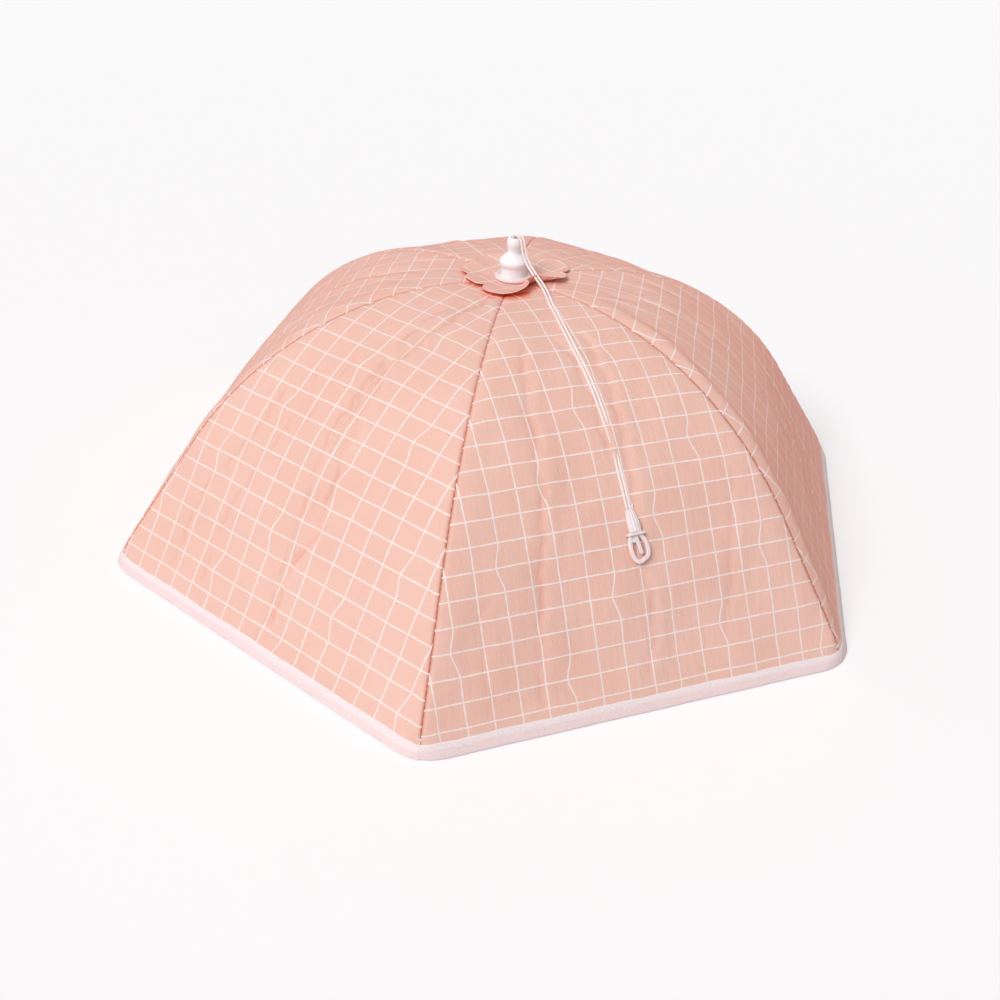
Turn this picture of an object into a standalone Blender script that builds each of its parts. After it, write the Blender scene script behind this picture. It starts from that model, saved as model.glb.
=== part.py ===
# Folding insulated food cover: a six-sided cloth dome on an umbrella frame.
# Units are metres, +Z is up, the table is at z = 0 and the axis of the hub is the Z axis.
# Corner 1 of the hem points along -Y, and ribs and panels are counted anticlockwise from it.

import math

import bmesh
import bpy
from mathutils import Euler, Matrix, Vector

# Whole cover
side_count = 6
rim_radius = 0.300              # centre to the point where two hem lines would meet
crown_height = 0.1891           # highest line of a seam above the table
shoulder_radius = 0.236         # bend of the seams over the shoulder
leg_slope = math.radians(54.5)  # slope of the seams from the shoulder down to the hem
fold_angle = math.radians(55)   # how far a rib swings down when the frame folds

# Fits
fit_gap = 0.0003                # between pieces that touch or run on each other
slot_gap = 0.0004               # each side of a wire in its slot
cut_overrun = 0.002             # how far a cutter runs past the face that it cuts
merge_reach = 1e-7              # points nearer than this are one point

# Cloth
cloth_thickness = 0.0006
wadding_thickness = 0.0020
seat_radius = 0.016             # flat ring of cloth clamped between cap and hub
seam_width = 0.0016             # how wide the cloth rounds over a seam
corner_width = 0.014            # blunt corner of the hem
corner_taper_height = 0.018     # height over which a seam widens into the blunt corner
swell = 0.0024                  # how far a panel stands proud between its seams
crease_depth = 0.0008           # storage fold down the middle of a panel
swell_start_radius = 0.060      # seam radius where a panel begins to swell
swell_full_radius = 0.150
hem_fade_height = 0.060         # height over which the swell dies out above the hem
shoulder_steps = 9
column_shares = (-1.0, -0.5, 0.0, 0.5, 1.0)

# Hem binding
tape_thickness = 0.0005
hem_height = 0.0085

# Petal patch under the cap
petal_radius = 0.038            # centre to the tip of a full petal
petal_tip_lift = 0.0016         # how far the cloth stands off the cover at its edge
petal_curl = 0.0024             # how much more it curls up at a notch
petal_steps = 6                 # facets round one petal
first_petal_turn = math.radians(-92)
petal_reach_shares = (0.80, 0.58, 1.0, 1.12, 1.02, 1.05, 0.98, 0.84)
notch_reach_share = 0.76
patch_ring_shares = (0.0, 0.5, 1.0)

# Cap
cap_flange_radius = 0.0129
cap_flange_thickness = 0.0023
cap_neck_radius = 0.0085        # cylinder that stands on the flange
cap_neck_height = 0.0063
cap_dome_radius = 0.0100
cap_dome_edge = 0.0042          # height of the dome's upright edge
cap_throat_radius = 0.0045
cap_throat_height = 0.0074      # dome's edge up to the throat
cap_knob_radius = 0.0053
cap_knob_height = 0.0098        # throat up to the mouth
dome_out_shares = (0.92, 0.72, 0.42, 0.16, 0.0)
dome_up_shares = (0.16, 0.36, 0.56, 0.78, 1.0)
knob_out_shares = (0.25, 1.0, 1.0, 0.45)
knob_up_shares = (0.22, 0.42, 0.68, 0.92)
cap_bore_radius = 0.0024        # passage of the doubled cord
cap_spigot_radius = 0.0050
cap_spigot_grip = 0.0055        # how deep the spigot sits in the hub
cap_steps = 28

# Hub and runner, both notched discs tied with a wire ring
pivot_radius = 0.011            # radius of the wire rings, which are the hinge axes
ring_wire_radius = 0.0009
disc_radius = 0.014
hub_roof = 0.0012
runner_web = 0.0016
knot_radius = 0.0035
disc_steps = 30
ring_steps = 36
ring_sides = 8

# Ribs
rib_wire_radius = 0.0012
sleeve_wall = 0.0004
tip_radius = 0.0019
rib_end_height = 0.022          # end of the wire, above the table
tip_length = 0.012
tip_cup_depth = 0.009
tip_nose_share = 0.6
eye_steps = 10
wire_sides_resolution = 2
sleeve_sides = 8

# Stretchers and their brackets
stretcher_wire_radius = 0.0010
bracket_radius = 0.088          # centre of the cover to the bracket, along a rib
least_runner_drop = 0.012       # hub's hinges down to the runner's, with the frame open
least_bracket_drop = 0.0062     # rib wire down to the bracket's pin
bracket_length = 0.008
bracket_top_wall = 0.0008
bracket_ear = 0.0012            # thickness of each ear
bracket_lug_radius = 0.0021     # rounded end of an ear round its pin
pin_radius = 0.0009
rod_sides = 10
lug_steps = 6

# Pull cord, a doubled strand that lies on the first panel
cord_radius = 0.0008
cord_pair_offset = 0.0011       # middle of the pair to the middle of a strand
cord_pair_spread = 0.0002       # how much further apart the strands lie half way along
cord_pair_turn = math.radians(32.5)
cord_mouth_depth = 0.0010       # where the free strands begin, below the cap's mouth
cord_step = 0.007               # length of a straight piece of the strands' curve
strand_sides = 8
cord_route = (
    (0.0, 0.0, 0.2177), (0.0, 0.0, 0.2192), (0.0008, -0.0005, 0.2204), (0.0026, -0.0014, 0.2208),
    (0.0045, -0.0024, 0.2200), (0.0061, -0.0033, 0.2179), (0.0069, -0.0037, 0.2148),
    (0.0077, -0.0042, 0.2110), (0.0090, -0.0049, 0.2072), (0.0107, -0.0059, 0.2040),
    (0.0128, -0.0074, 0.2010), (0.0156, -0.0098, 0.1982), (0.0190, -0.0136, 0.1959),
    (0.0228, -0.0190, 0.1940), (0.0274, -0.0272, 0.1921), (0.0334, -0.0421, 0.1895),
    (0.0417, -0.0602, 0.1867), (0.0490, -0.0755, 0.1832), (0.0573, -0.0901, 0.1777),
    (0.0663, -0.1037, 0.1702), (0.0746, -0.1171, 0.1614), (0.0820, -0.1294, 0.1515),
    (0.0888, -0.1398, 0.1407), (0.0948, -0.1501, 0.1293), (0.0994, -0.1574, 0.1196),
    (0.1036, -0.1638, 0.1101))

# Pull tab at the cord's end: a sleeve, a cross bar and an open loop with a tongue in it
tab_mouth_width = 0.0042        # where the strands go in
tab_width = 0.0086
tab_length = 0.0146
tab_mouth_thickness = 0.0026
tab_thickness = 0.0050
tab_lean = 0.0004               # middle of the cross bar, to the side of the cord
tail_width = 0.0012             # short end of the tab that stands up beside the cord
tail_length = 0.0032
bar_width = 0.0126
bar_height = 0.0024
loop_length = 0.0176            # cross bar to the far end of the loop
loop_side = 0.0060              # middle of the loop to the middle of its band
loop_lean = 0.0007
band_width = 0.0028
band_thickness = 0.0022
tongue_width = 0.0027
tongue_length = 0.0122
tab_sides = 12
band_sides = 8
tab_width_shares = (0.0, 0.42, 0.78, 1.0)
tab_length_shares = (0.0, 0.14, 0.50, 1.0)
loop_side_shares = (-0.62, -0.96, -1.0, -0.80, -0.40, 0.08, 0.52, 0.90, 1.0, 0.90, 0.46)
loop_down_shares = (-0.06, 0.20, 0.46, 0.74, 0.92, 0.86, 0.88, 0.68, 0.44, 0.18, -0.06)

half_side = math.pi / side_count
crease_angle = math.radians(35)
stack = cloth_thickness + fit_gap + wadding_thickness


def colour(name, rgb, roughness, metallic=0.0):
    finish = bpy.data.materials.new(name)
    finish.use_nodes = True
    shader = finish.node_tree.nodes["Principled BSDF"]
    shader.inputs["Base Color"].default_value = (*rgb, 1.0)
    shader.inputs["Roughness"].default_value = roughness
    shader.inputs["Metallic"].default_value = metallic
    finish.diffuse_color = (*rgb, 1.0)
    return finish


def clear_scene():
    for item in list(bpy.data.objects):
        bpy.data.objects.remove(item, do_unlink=True)


def add_object(name, data, finish, parent=None, location=(0, 0, 0), turn=0.0, pitch=0.0):
    item = bpy.data.objects.new(name, data)
    bpy.context.scene.collection.objects.link(item)
    item.location = location
    item.rotation_euler = Euler((0, pitch, turn))
    item.parent = parent
    if finish is not None and not data.materials:
        data.materials.append(finish)
    return item


def add_hinge(name, azimuth, radius, height):
    # An empty on a joint's axis, turned so that its X axis points away from the hub
    hinge = bpy.data.objects.new(name, None)
    bpy.context.scene.collection.objects.link(hinge)
    hinge.location = (radius * math.cos(azimuth), radius * math.sin(azimuth), height)
    hinge.rotation_euler = Euler((0, 0, azimuth))
    return hinge


def mesh_from(shape, name, smooth=True):
    bmesh.ops.recalc_face_normals(shape, faces=shape.faces)
    mesh = bpy.data.meshes.new(name)
    shape.to_mesh(mesh)
    shape.free()
    if smooth:
        mesh.shade_smooth()
        mesh.set_sharp_from_angle(angle=crease_angle)
    return mesh


def turned(name, outline, steps, smooth=True):
    # A closed outline of (radius, height) points, spun round the Z axis
    shape = bmesh.new()
    ring = [shape.verts.new((radius, 0, height)) for radius, height in outline]
    edges = [shape.edges.new(pair) for pair in zip(ring, ring[1:] + ring[:1])]
    bmesh.ops.spin(shape, geom=ring + edges, cent=(0, 0, 0), axis=(0, 0, 1),
                   angle=2 * math.pi, steps=steps, use_merge=True)
    bmesh.ops.remove_doubles(shape, verts=shape.verts, dist=merge_reach)
    bmesh.ops.dissolve_degenerate(shape, edges=shape.edges, dist=merge_reach)
    return mesh_from(shape, name, smooth)


def lofted(name, rings, cap_faces, smooth=True, split=False):
    # Rings of the same number of points joined one to the next, with the given end faces.
    # Split rings are a sheet's two faces, cut into the same triangles so that they stay parallel
    shape = bmesh.new()
    rows = [[shape.verts.new(point) for point in ring] for ring in rings]
    count = len(rings[0])
    columns = [min(k, count - 1 - k) for k in range(count)]
    for upper, lower in zip(rows, rows[1:]):
        for k in range(count):
            nxt = (k + 1) % count
            if not split:
                shape.faces.new((upper[k], upper[nxt], lower[nxt], lower[k]))
                continue
            in_left_half = columns[k] + columns[nxt] < count / 2 - 1
            if in_left_half == (columns[nxt] > columns[k]):
                shape.faces.new((upper[k], upper[nxt], lower[nxt]))
                shape.faces.new((upper[k], lower[nxt], lower[k]))
            else:
                shape.faces.new((upper[k], upper[nxt], lower[k]))
                shape.faces.new((upper[nxt], lower[nxt], lower[k]))
    for row in (rows[0], rows[-1]):
        for corners in cap_faces:
            shape.faces.new([row[k] for k in corners])
    return mesh_from(shape, name, smooth)


def extruded(name, outline, half_width):
    # A side outline of (x, z) points made into a solid that is centred on y = 0
    shape = bmesh.new()
    face = shape.faces.new([shape.verts.new((x, -half_width, z)) for x, z in outline])
    grown = bmesh.ops.extrude_face_region(shape, geom=[face])
    moved = [item for item in grown["geom"] if isinstance(item, bmesh.types.BMVert)]
    bmesh.ops.translate(shape, verts=moved, vec=(0, 2 * half_width, 0))
    return mesh_from(shape, name, smooth=False)


def box_mesh(name, low, high):
    shape = bmesh.new()
    bmesh.ops.create_cube(shape, size=1.0)
    for vert in shape.verts:
        vert.co = Vector((low[k] if vert.co[k] < 0 else high[k]) for k in range(3))
    return mesh_from(shape, name, smooth=False)


def rod_mesh(name, radius, low, high, sides, axis):
    # A round bar along X, Y or Z between two places
    shape = bmesh.new()
    bmesh.ops.create_cone(shape, cap_ends=True, segments=sides, radius1=radius,
                          radius2=radius, depth=high - low)
    turns = {"X": Euler((0, math.pi / 2, 0)), "Y": Euler((math.pi / 2, 0, 0)), "Z": Euler()}
    bmesh.ops.rotate(shape, cent=(0, 0, 0), matrix=turns[axis].to_matrix(), verts=shape.verts)
    middle = Vector([(high + low) / 2 if letter == axis else 0 for letter in "XYZ"])
    bmesh.ops.translate(shape, verts=shape.verts, vec=middle)
    return mesh_from(shape, name)


def combined(mesh, steps):
    # Cuts and joins tools to a mesh in turn; the tools are left as hidden wire guides
    body = bpy.data.objects.new(mesh.name + "_blank", mesh)
    bpy.context.scene.collection.objects.link(body)
    guides = []
    for operation, tool_mesh in steps:
        tool = bpy.data.objects.new(tool_mesh.name, tool_mesh)
        bpy.context.scene.collection.objects.link(tool)
        guides.append(tool)
        change = body.modifiers.new(operation.lower(), "BOOLEAN")
        change.operation = operation
        change.solver = "EXACT"
        change.object = tool
    view = bpy.context.evaluated_depsgraph_get()
    made = bpy.data.meshes.new_from_object(body.evaluated_get(view))
    made.name = mesh.name
    for item in [body] + guides:
        bpy.data.objects.remove(item, do_unlink=True)
    return made


def wire_curve(name, points, radius, resolution=wire_sides_resolution):
    curve = bpy.data.curves.new(name, "CURVE")
    curve.dimensions = "3D"
    curve.bevel_depth = radius
    curve.bevel_resolution = resolution
    curve.resolution_u = 1
    curve.render_resolution_u = 0
    curve.use_fill_caps = True
    spline = curve.splines.new("POLY")
    spline.points.add(len(points) - 1)
    for place, point in zip(spline.points, points):
        place.co = (*point, 1.0)
        place.radius = 1.0
    spline.use_smooth = True
    return curve


# The seam line

arc_height = crown_height - shoulder_radius
leg_top_height = arc_height + shoulder_radius * math.cos(leg_slope)
leg_top_radius = rim_radius - leg_top_height / math.tan(leg_slope)
arc_radius = leg_top_radius - shoulder_radius * math.sin(leg_slope)
seat_slope = math.asin((seat_radius - arc_radius) / shoulder_radius)
seat_height = arc_height + shoulder_radius * math.cos(seat_slope)


def arc_slope(radius, depth=0.0):
    # Slope of the seam's arc, or of a line that runs below it, at a distance from the axis
    return math.asin((radius - arc_radius) / (shoulder_radius - depth))


def arc_point(slope, depth=0.0):
    reach = shoulder_radius - depth
    return arc_radius + reach * math.sin(slope), arc_height + reach * math.cos(slope)


def leg_point(height, depth=0.0):
    # Where the straight leg of the seam, or a line that runs below it, passes a height
    return rim_radius - height / math.tan(leg_slope) - depth / math.sin(leg_slope), height


def middle_tilt(slope):
    # Slope down the middle of a panel, which is steeper than its seams
    return math.atan2(math.tan(slope), math.cos(half_side))


def corner_cut(width):
    return width * math.tan(half_side) / 2


def cut_at(height):
    # How far the blunt corner stands back from the seam line at a height
    share = min(max(height / corner_taper_height, 0.0), 1.0)
    return corner_cut(corner_width + (seam_width - corner_width) * share)


def side_points(reach, corner_reach):
    # Plan of one side seen from the axis: end of its straight part and its corner in the rib plane
    straight = (corner_reach - reach * math.cos(half_side)) / math.sin(half_side)
    side = fit_gap / 2
    corner_x = corner_reach * math.cos(half_side) + side * math.sin(half_side)
    corner_y = corner_reach * math.sin(half_side) - side * math.cos(half_side)
    return straight, corner_x, corner_y


def smooth_share(value):
    value = min(max(value, 0.0), 1.0)
    return value * value * (3 - 2 * value)


def swell_at(radius, height):
    rise = smooth_share((radius - swell_start_radius) / (swell_full_radius - swell_start_radius))
    fade = smooth_share((height - corner_taper_height) / hem_fade_height)
    return rise * fade


def panel_row(radius, height, slope, depth):
    # Seven points across a panel, at a depth below its outer face
    tilt = middle_tilt(slope)
    reach = radius * math.cos(half_side) - depth * math.sin(tilt)
    level = height - depth * math.cos(tilt)
    corner_reach = reach / math.cos(half_side) - cut_at(level)
    straight, corner_x, corner_y = side_points(reach, corner_reach)
    lift = swell_at(radius, height)
    row = [(corner_x, -corner_y, level)]
    for share in column_shares:
        proud = lift * (swell * (1 - share * share) - (crease_depth if share == 0 else 0))
        row.append((reach + proud * math.sin(tilt), straight * share, level + proud * math.cos(tilt)))
    row.append((corner_x, corner_y, level))
    return row


def panel_stations(inner_radius):
    stations = [(inner_radius, seat_height, 0.0), (seat_radius, seat_height, seat_slope / 2)]
    for k in range(1, shoulder_steps + 1):
        slope = seat_slope + (leg_slope - seat_slope) * k / shoulder_steps
        stations.append((*arc_point(slope), slope))
    stations.append((*leg_point(corner_taper_height), leg_slope))
    return stations


def panel_mesh(name, top_depth, thickness, inner_radius, foot_height):
    # The sheet between two depths, from the hub down to its cut edge in the hem
    rings = []
    for radius, height, slope in panel_stations(inner_radius):
        outer = panel_row(radius, height, slope, top_depth)
        inner = panel_row(radius, height, slope, top_depth + thickness)
        rings.append(outer + inner[::-1])
    last = []
    for depth in (top_depth, top_depth + thickness):
        height = foot_height + depth * math.cos(middle_tilt(leg_slope))
        last.append(panel_row(*leg_point(height), leg_slope, depth))
    rings.append(last[0] + last[1][::-1])
    columns = len(last[0])
    caps = [(k, k + 1, 2 * columns - 2 - k, 2 * columns - 1 - k) for k in range(columns - 1)]
    return lofted(name, rings, caps, split=True)


def hem_mesh(name):
    # A tape folded over the cut edges, with a flat foot on the table and blunt corners
    tilt = middle_tilt(leg_slope)
    outer = -fit_gap - tape_thickness
    inner = stack + fit_gap + tape_thickness
    section = [(outer, 0.0), (outer, hem_height), (outer + tape_thickness, hem_height),
               (outer + tape_thickness, tape_thickness), (inner - tape_thickness, tape_thickness),
               (inner - tape_thickness, hem_height), (inner, hem_height), (inner, 0.0)]
    rings = [[], [], [], []]
    for depth, height in section:
        radius, level = leg_point(height)
        reach = radius * math.cos(half_side) - depth / math.sin(tilt)
        corner_reach = reach / math.cos(half_side) - cut_at(level)
        straight, corner_x, corner_y = side_points(reach, corner_reach)
        rings[0].append((corner_x, -corner_y, level))
        rings[1].append((reach, -straight, level))
        rings[2].append((reach, straight, level))
        rings[3].append((corner_x, corner_y, level))
    return lofted(name, rings, [tuple(range(len(section)))], smooth=False)


def cover_height(radius, azimuth):
    # Height of the cloth's outer face over a point near the hub
    off_middle = (azimuth % (2 * half_side)) - half_side
    seam_radius = radius * math.cos(off_middle) / math.cos(half_side)
    if seam_radius <= seat_radius:
        return seat_height
    return arc_point(arc_slope(seam_radius))[1]


def petal_edge(azimuth):
    # Reach of the patch in a direction, and how near that direction is to a notch
    place = (azimuth - first_petal_turn) / (2 * math.pi) * len(petal_reach_shares)
    petal = math.floor(place + 0.5)
    to_notch = abs(place - petal) * 2
    reaches = [petal_reach_shares[(petal + step) % len(petal_reach_shares)] for step in (-1, 0, 1)]
    beside = reaches[2] if place > petal else reaches[0]
    notch = notch_reach_share * (reaches[1] + beside) / 2
    return petal_radius * (reaches[1] + (notch - reaches[1]) * to_notch ** 3), to_notch


def petal_mesh(name, hole_radius):
    # A scalloped cloth patch, clamped flat under the cap, that stands off the cover at its edge
    count = len(petal_reach_shares) * petal_steps
    flat = cap_flange_radius + fit_gap
    shape = bmesh.new()
    sheets = []
    for offset in (fit_gap, fit_gap + cloth_thickness):
        rows = [[]]
        for share in patch_ring_shares:
            rows.append([])
            for k in range(count):
                azimuth = 2 * math.pi * k / count
                edge, to_notch = petal_edge(azimuth)
                radius = flat + (edge - flat) * share
                lift = (petal_tip_lift + petal_curl * to_notch ** 2) * share ** 2
                height = cover_height(radius, azimuth) + offset + lift
                rows[-1].append(shape.verts.new((radius * math.cos(azimuth),
                                                 radius * math.sin(azimuth), height)))
        for k in range(count):
            azimuth = 2 * math.pi * k / count
            rows[0].append(shape.verts.new((hole_radius * math.cos(azimuth),
                                            hole_radius * math.sin(azimuth),
                                            seat_height + offset)))
        sheets.append(rows)
    lower, upper = sheets
    for k in range(count):
        nxt = (k + 1) % count
        for rows in sheets:
            for near, far in zip(rows, rows[1:]):
                shape.faces.new((near[k], near[nxt], far[nxt], far[k]))
        for edge in (0, -1):
            shape.faces.new((lower[edge][k], lower[edge][nxt], upper[edge][nxt], upper[edge][k]))
    return mesh_from(shape, name)


# The folding frame, worked out in the plane of one rib

rib_eye_radius = ring_wire_radius + fit_gap + rib_wire_radius
stretcher_eye_radius = ring_wire_radius + fit_gap + stretcher_wire_radius
rib_depth = stack + fit_gap + hub_roof + fit_gap + rib_wire_radius
eye_depth = rib_depth + rib_eye_radius
hub_slope = arc_slope(pivot_radius, eye_depth)
hub_pivot_height = arc_point(hub_slope, eye_depth)[1]
bracket_slope = arc_slope(bracket_radius, rib_depth)
bracket_place = arc_point(bracket_slope, rib_depth)
# The pin lies half way between the two hinge rings, so that its links are equally long, and low
# enough both for the runner to clear the hub and for the stretcher to clear the rib
pin_height = min(hub_pivot_height - least_runner_drop / 2,
                 bracket_place[1] - least_bracket_drop * math.cos(bracket_slope))
bracket_drop = (bracket_place[1] - pin_height) / math.cos(bracket_slope)
pin_place = arc_point(bracket_slope, rib_depth + bracket_drop)
link_length = math.hypot(pin_place[0] - pivot_radius, pin_place[1] - hub_pivot_height)
link_slope = math.atan2(hub_pivot_height - pin_place[1], pin_place[0] - pivot_radius)
runner_pivot_height = 2 * pin_height - hub_pivot_height
sleeve_start_radius = bracket_radius + bracket_length / 2 + fit_gap


def eye_points(centre, direction, side, radius, wire_radius):
    # An open wire eye whose shank leaves tangentially; side is +1 if the shank lies to the left
    opening = math.acos(1 - (2 * wire_radius + fit_gap) / radius)
    sweep = 2 * math.pi - opening
    points = []
    for k in range(eye_steps + 1):
        angle = direction + side * (math.pi / 2 + sweep * (1 - k / eye_steps))
        points.append((centre[0] + radius * math.cos(angle), 0.0,
                       centre[1] + radius * math.sin(angle)))
    return points


def rib_line(start_radius, end_height, depth=rib_depth):
    # Points down the rib from a distance from the axis to a height, bent where the seam bends
    # and at both ends of the bracket
    start = arc_slope(start_radius, depth)
    bends = [seat_slope + (leg_slope - seat_slope) * k / shoulder_steps
             for k in range(1, shoulder_steps + 1)]
    bends.append(arc_slope(bracket_radius - bracket_length / 2 - fit_gap, depth))
    bends.append(arc_slope(sleeve_start_radius, depth))
    points = [arc_point(start, depth)]
    points += [arc_point(slope, depth) for slope in sorted(bends) if slope > start]
    points.append(leg_point(end_height, depth))
    return points


def rib_points():
    eye = eye_points((0.0, 0.0), -hub_slope, 1, rib_eye_radius, rib_wire_radius)
    tangent_radius = arc_point(hub_slope, rib_depth)[0]
    line = rib_line(tangent_radius, rib_end_height)[1:]
    return eye + [(x - pivot_radius, 0.0, z - hub_pivot_height) for x, z in line]


def stretcher_points():
    # From the eye on the runner's ring to the eye on the bracket's pin, which is the origin
    inner = (pivot_radius - pin_place[0], runner_pivot_height - pin_place[1])
    runner_eye = eye_points(inner, link_slope, -1, stretcher_eye_radius, stretcher_wire_radius)
    pin_eye = eye_points((0.0, 0.0), math.pi + link_slope, 1, stretcher_eye_radius,
                         stretcher_wire_radius)
    return runner_eye + pin_eye[::-1]


def sleeve_mesh(name, mouth_radius, end_height):
    # The cloth tunnel that the rib wire runs in, from the bracket down to the rib's tip
    line = rib_line(mouth_radius, end_height)
    bore = rib_wire_radius + fit_gap
    rings = []
    for k, (x, z) in enumerate(line):
        before = Vector(line[max(k - 1, 0)])
        after = Vector(line[min(k + 1, len(line) - 1)])
        along = (after - before).normalized()
        ring = []
        for radius in (bore + sleeve_wall, bore):
            for j in range(sleeve_sides):
                angle = 2 * math.pi * (j + 0.5) / sleeve_sides
                rise = radius * math.cos(angle)
                ring.append((x - pivot_radius - along.y * rise, radius * math.sin(angle),
                             z - hub_pivot_height + along.x * rise))
        rings.append(ring)
    shape = bmesh.new()
    rows = [[shape.verts.new(point) for point in ring] for ring in rings]
    for upper, lower in zip(rows, rows[1:]):
        for wall in (0, sleeve_sides):
            for j in range(sleeve_sides):
                nxt = (j + 1) % sleeve_sides
                shape.faces.new((upper[wall + j], upper[wall + nxt], lower[wall + nxt],
                                 lower[wall + j]))
    for row in (rows[0], rows[-1]):
        for j in range(sleeve_sides):
            nxt = (j + 1) % sleeve_sides
            shape.faces.new((row[j], row[nxt], row[sleeve_sides + nxt], row[sleeve_sides + j]))
    return mesh_from(shape, name)


def tip_mesh(name):
    # A moulded cup on the wire's end, with its closed end along +X past the wire
    bore = rib_wire_radius + fit_gap
    end = tip_length - tip_cup_depth
    nose = tip_radius * tip_nose_share
    outline = [(bore, -tip_cup_depth), (tip_radius, -tip_cup_depth), (tip_radius, end - nose),
               (nose, end), (0.0, end), (0.0, fit_gap), (bore, fit_gap)]
    mesh = turned(name, outline, rod_sides)
    mesh.transform(Euler((0, math.pi / 2, 0)).to_matrix().to_4x4())
    return mesh


def bracket_mesh(name):
    # A clip on the rib wire with two ears below it and a pin between them
    half_length = bracket_length / 2
    bore = rib_wire_radius + fit_gap
    top = bore + bracket_top_wall
    half_slot = stretcher_wire_radius + slot_gap
    half_width = half_slot + bracket_ear
    outline = [(-half_length, top), (half_length, top), (half_length, -top)]
    for k in range(lug_steps + 1):
        angle = -math.pi * k / lug_steps
        outline.append((bracket_lug_radius * math.cos(angle),
                        -bracket_drop + bracket_lug_radius * math.sin(angle)))
    outline.append((-half_length, -top))
    blank = extruded(name, outline, half_width)
    wire_bore = rod_mesh("wire_bore", bore, -half_length - cut_overrun, half_length + cut_overrun,
                         rod_sides, "X")
    slot = box_mesh("ear_slot",
                    (-half_length - cut_overrun, -half_slot,
                     -bracket_drop - bracket_lug_radius - cut_overrun),
                    (half_length + cut_overrun, half_slot, -top))
    pin = rod_mesh("ear_pin", pin_radius, -half_width + bracket_ear / 2,
                   half_width - bracket_ear / 2, rod_sides, "Y")
    for vert in pin.vertices:
        vert.co.z -= bracket_drop
    return combined(blank, [("DIFFERENCE", wire_bore), ("DIFFERENCE", slot), ("UNION", pin)])


def slot_tools(name, half_width, inner_radius, low, high):
    # One cutter for the notches of a disc, one notch in line with each rib
    shape = bmesh.new()
    for k in range(side_count):
        made = bmesh.ops.create_cube(shape, size=1.0)["verts"]
        for vert in made:
            x = inner_radius if vert.co.x < 0 else disc_radius + cut_overrun
            y = -half_width if vert.co.y < 0 else half_width
            vert.co = (x, y, low if vert.co.z < 0 else high)
        turn = Euler((0, 0, 2 * math.pi * k / side_count)).to_matrix()
        bmesh.ops.rotate(shape, cent=(0, 0, 0), matrix=turn, verts=made)
    return mesh_from(shape, name, smooth=False)


def hub_mesh(name):
    # Umbrella notch: rib eyes hang in its notches on the wire ring in its rim groove
    top = seat_height - stack - fit_gap
    bottom = hub_pivot_height - rib_eye_radius - rib_wire_radius - fit_gap
    bore = cap_spigot_radius + fit_gap
    groove = ring_wire_radius + fit_gap
    groove_floor = pivot_radius - groove
    outline = [(bore, bottom), (disc_radius, bottom), (disc_radius, hub_pivot_height - groove),
               (groove_floor, hub_pivot_height - groove), (groove_floor, hub_pivot_height + groove),
               (disc_radius, hub_pivot_height + groove), (disc_radius, top), (bore, top)]
    blank = turned(name, outline, disc_steps)
    notch_start = pivot_radius - rib_eye_radius - rib_wire_radius - slot_gap
    notches = slot_tools("hub_notches", rib_wire_radius + slot_gap, notch_start,
                         bottom - cut_overrun, top - hub_roof)
    return combined(blank, [("DIFFERENCE", notches)])


def runner_mesh(name):
    # The sliding disc that the stretchers hang on, with a stem that plugs into the hub
    eye_reach = stretcher_eye_radius + stretcher_wire_radius + fit_gap
    top = eye_reach
    floor = -eye_reach
    bottom = floor - runner_web
    stem_top = seat_height - stack - fit_gap - cap_spigot_grip - fit_gap - runner_pivot_height
    groove = ring_wire_radius + fit_gap
    groove_floor = pivot_radius - groove
    lead = cap_spigot_radius - cap_bore_radius
    outline = [(cap_bore_radius, bottom), (disc_radius - runner_web, bottom),
               (disc_radius, bottom + runner_web), (disc_radius, -groove), (groove_floor, -groove),
               (groove_floor, groove), (disc_radius, groove), (disc_radius, top),
               (cap_spigot_radius, top), (cap_spigot_radius, stem_top - lead / 2),
               (cap_bore_radius + lead / 2, stem_top), (cap_bore_radius, stem_top)]
    blank = turned(name, outline, disc_steps)
    notch_start = pivot_radius - stretcher_eye_radius - stretcher_wire_radius - slot_gap
    notches = slot_tools("runner_notches", stretcher_wire_radius + slot_gap, notch_start, floor,
                         top + cut_overrun)
    return combined(blank, [("DIFFERENCE", notches)])


def ring_mesh(name):
    outline = []
    for k in range(ring_sides):
        angle = 2 * math.pi * k / ring_sides
        outline.append((pivot_radius + ring_wire_radius * math.cos(angle),
                        ring_wire_radius * math.sin(angle)))
    return turned(name, outline, ring_steps)


def cap_mesh(name):
    # Cord nozzle: flange, cylinder, domed shoulder, throat and rounded mouth, with a spigot below
    flange = seat_height + 2 * fit_gap + cloth_thickness
    top = flange + cap_flange_thickness
    dome = top + cap_neck_height
    edge = dome + cap_dome_edge
    throat = edge + cap_throat_height
    mouth = throat + cap_knob_height
    spigot = seat_height - stack - fit_gap - cap_spigot_grip
    rim = cap_flange_thickness / 3
    outline = [(cap_bore_radius, spigot), (cap_spigot_radius, spigot), (cap_spigot_radius, flange),
               (cap_flange_radius - rim, flange), (cap_flange_radius, flange + rim),
               (cap_flange_radius, top - rim), (cap_flange_radius - rim, top - rim / 3),
               (cap_neck_radius, top), (cap_neck_radius, dome - rim)]
    outline += [(cap_dome_radius, dome + rim), (cap_dome_radius, edge - rim)]
    for out_share, up_share in zip(dome_out_shares, dome_up_shares):
        outline.append((cap_throat_radius + (cap_dome_radius - cap_throat_radius) * out_share,
                        edge - rim + (cap_throat_height + rim) * up_share))
    lip = cap_bore_radius + rim / 2
    for out_share, up_share in zip(knob_out_shares, knob_up_shares):
        outline.append((cap_throat_radius + (cap_knob_radius - cap_throat_radius) * out_share,
                        throat + cap_knob_height * up_share))
    outline += [(lip, mouth), (cap_bore_radius, mouth - rim / 2)]
    return turned(name, outline, cap_steps)


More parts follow.
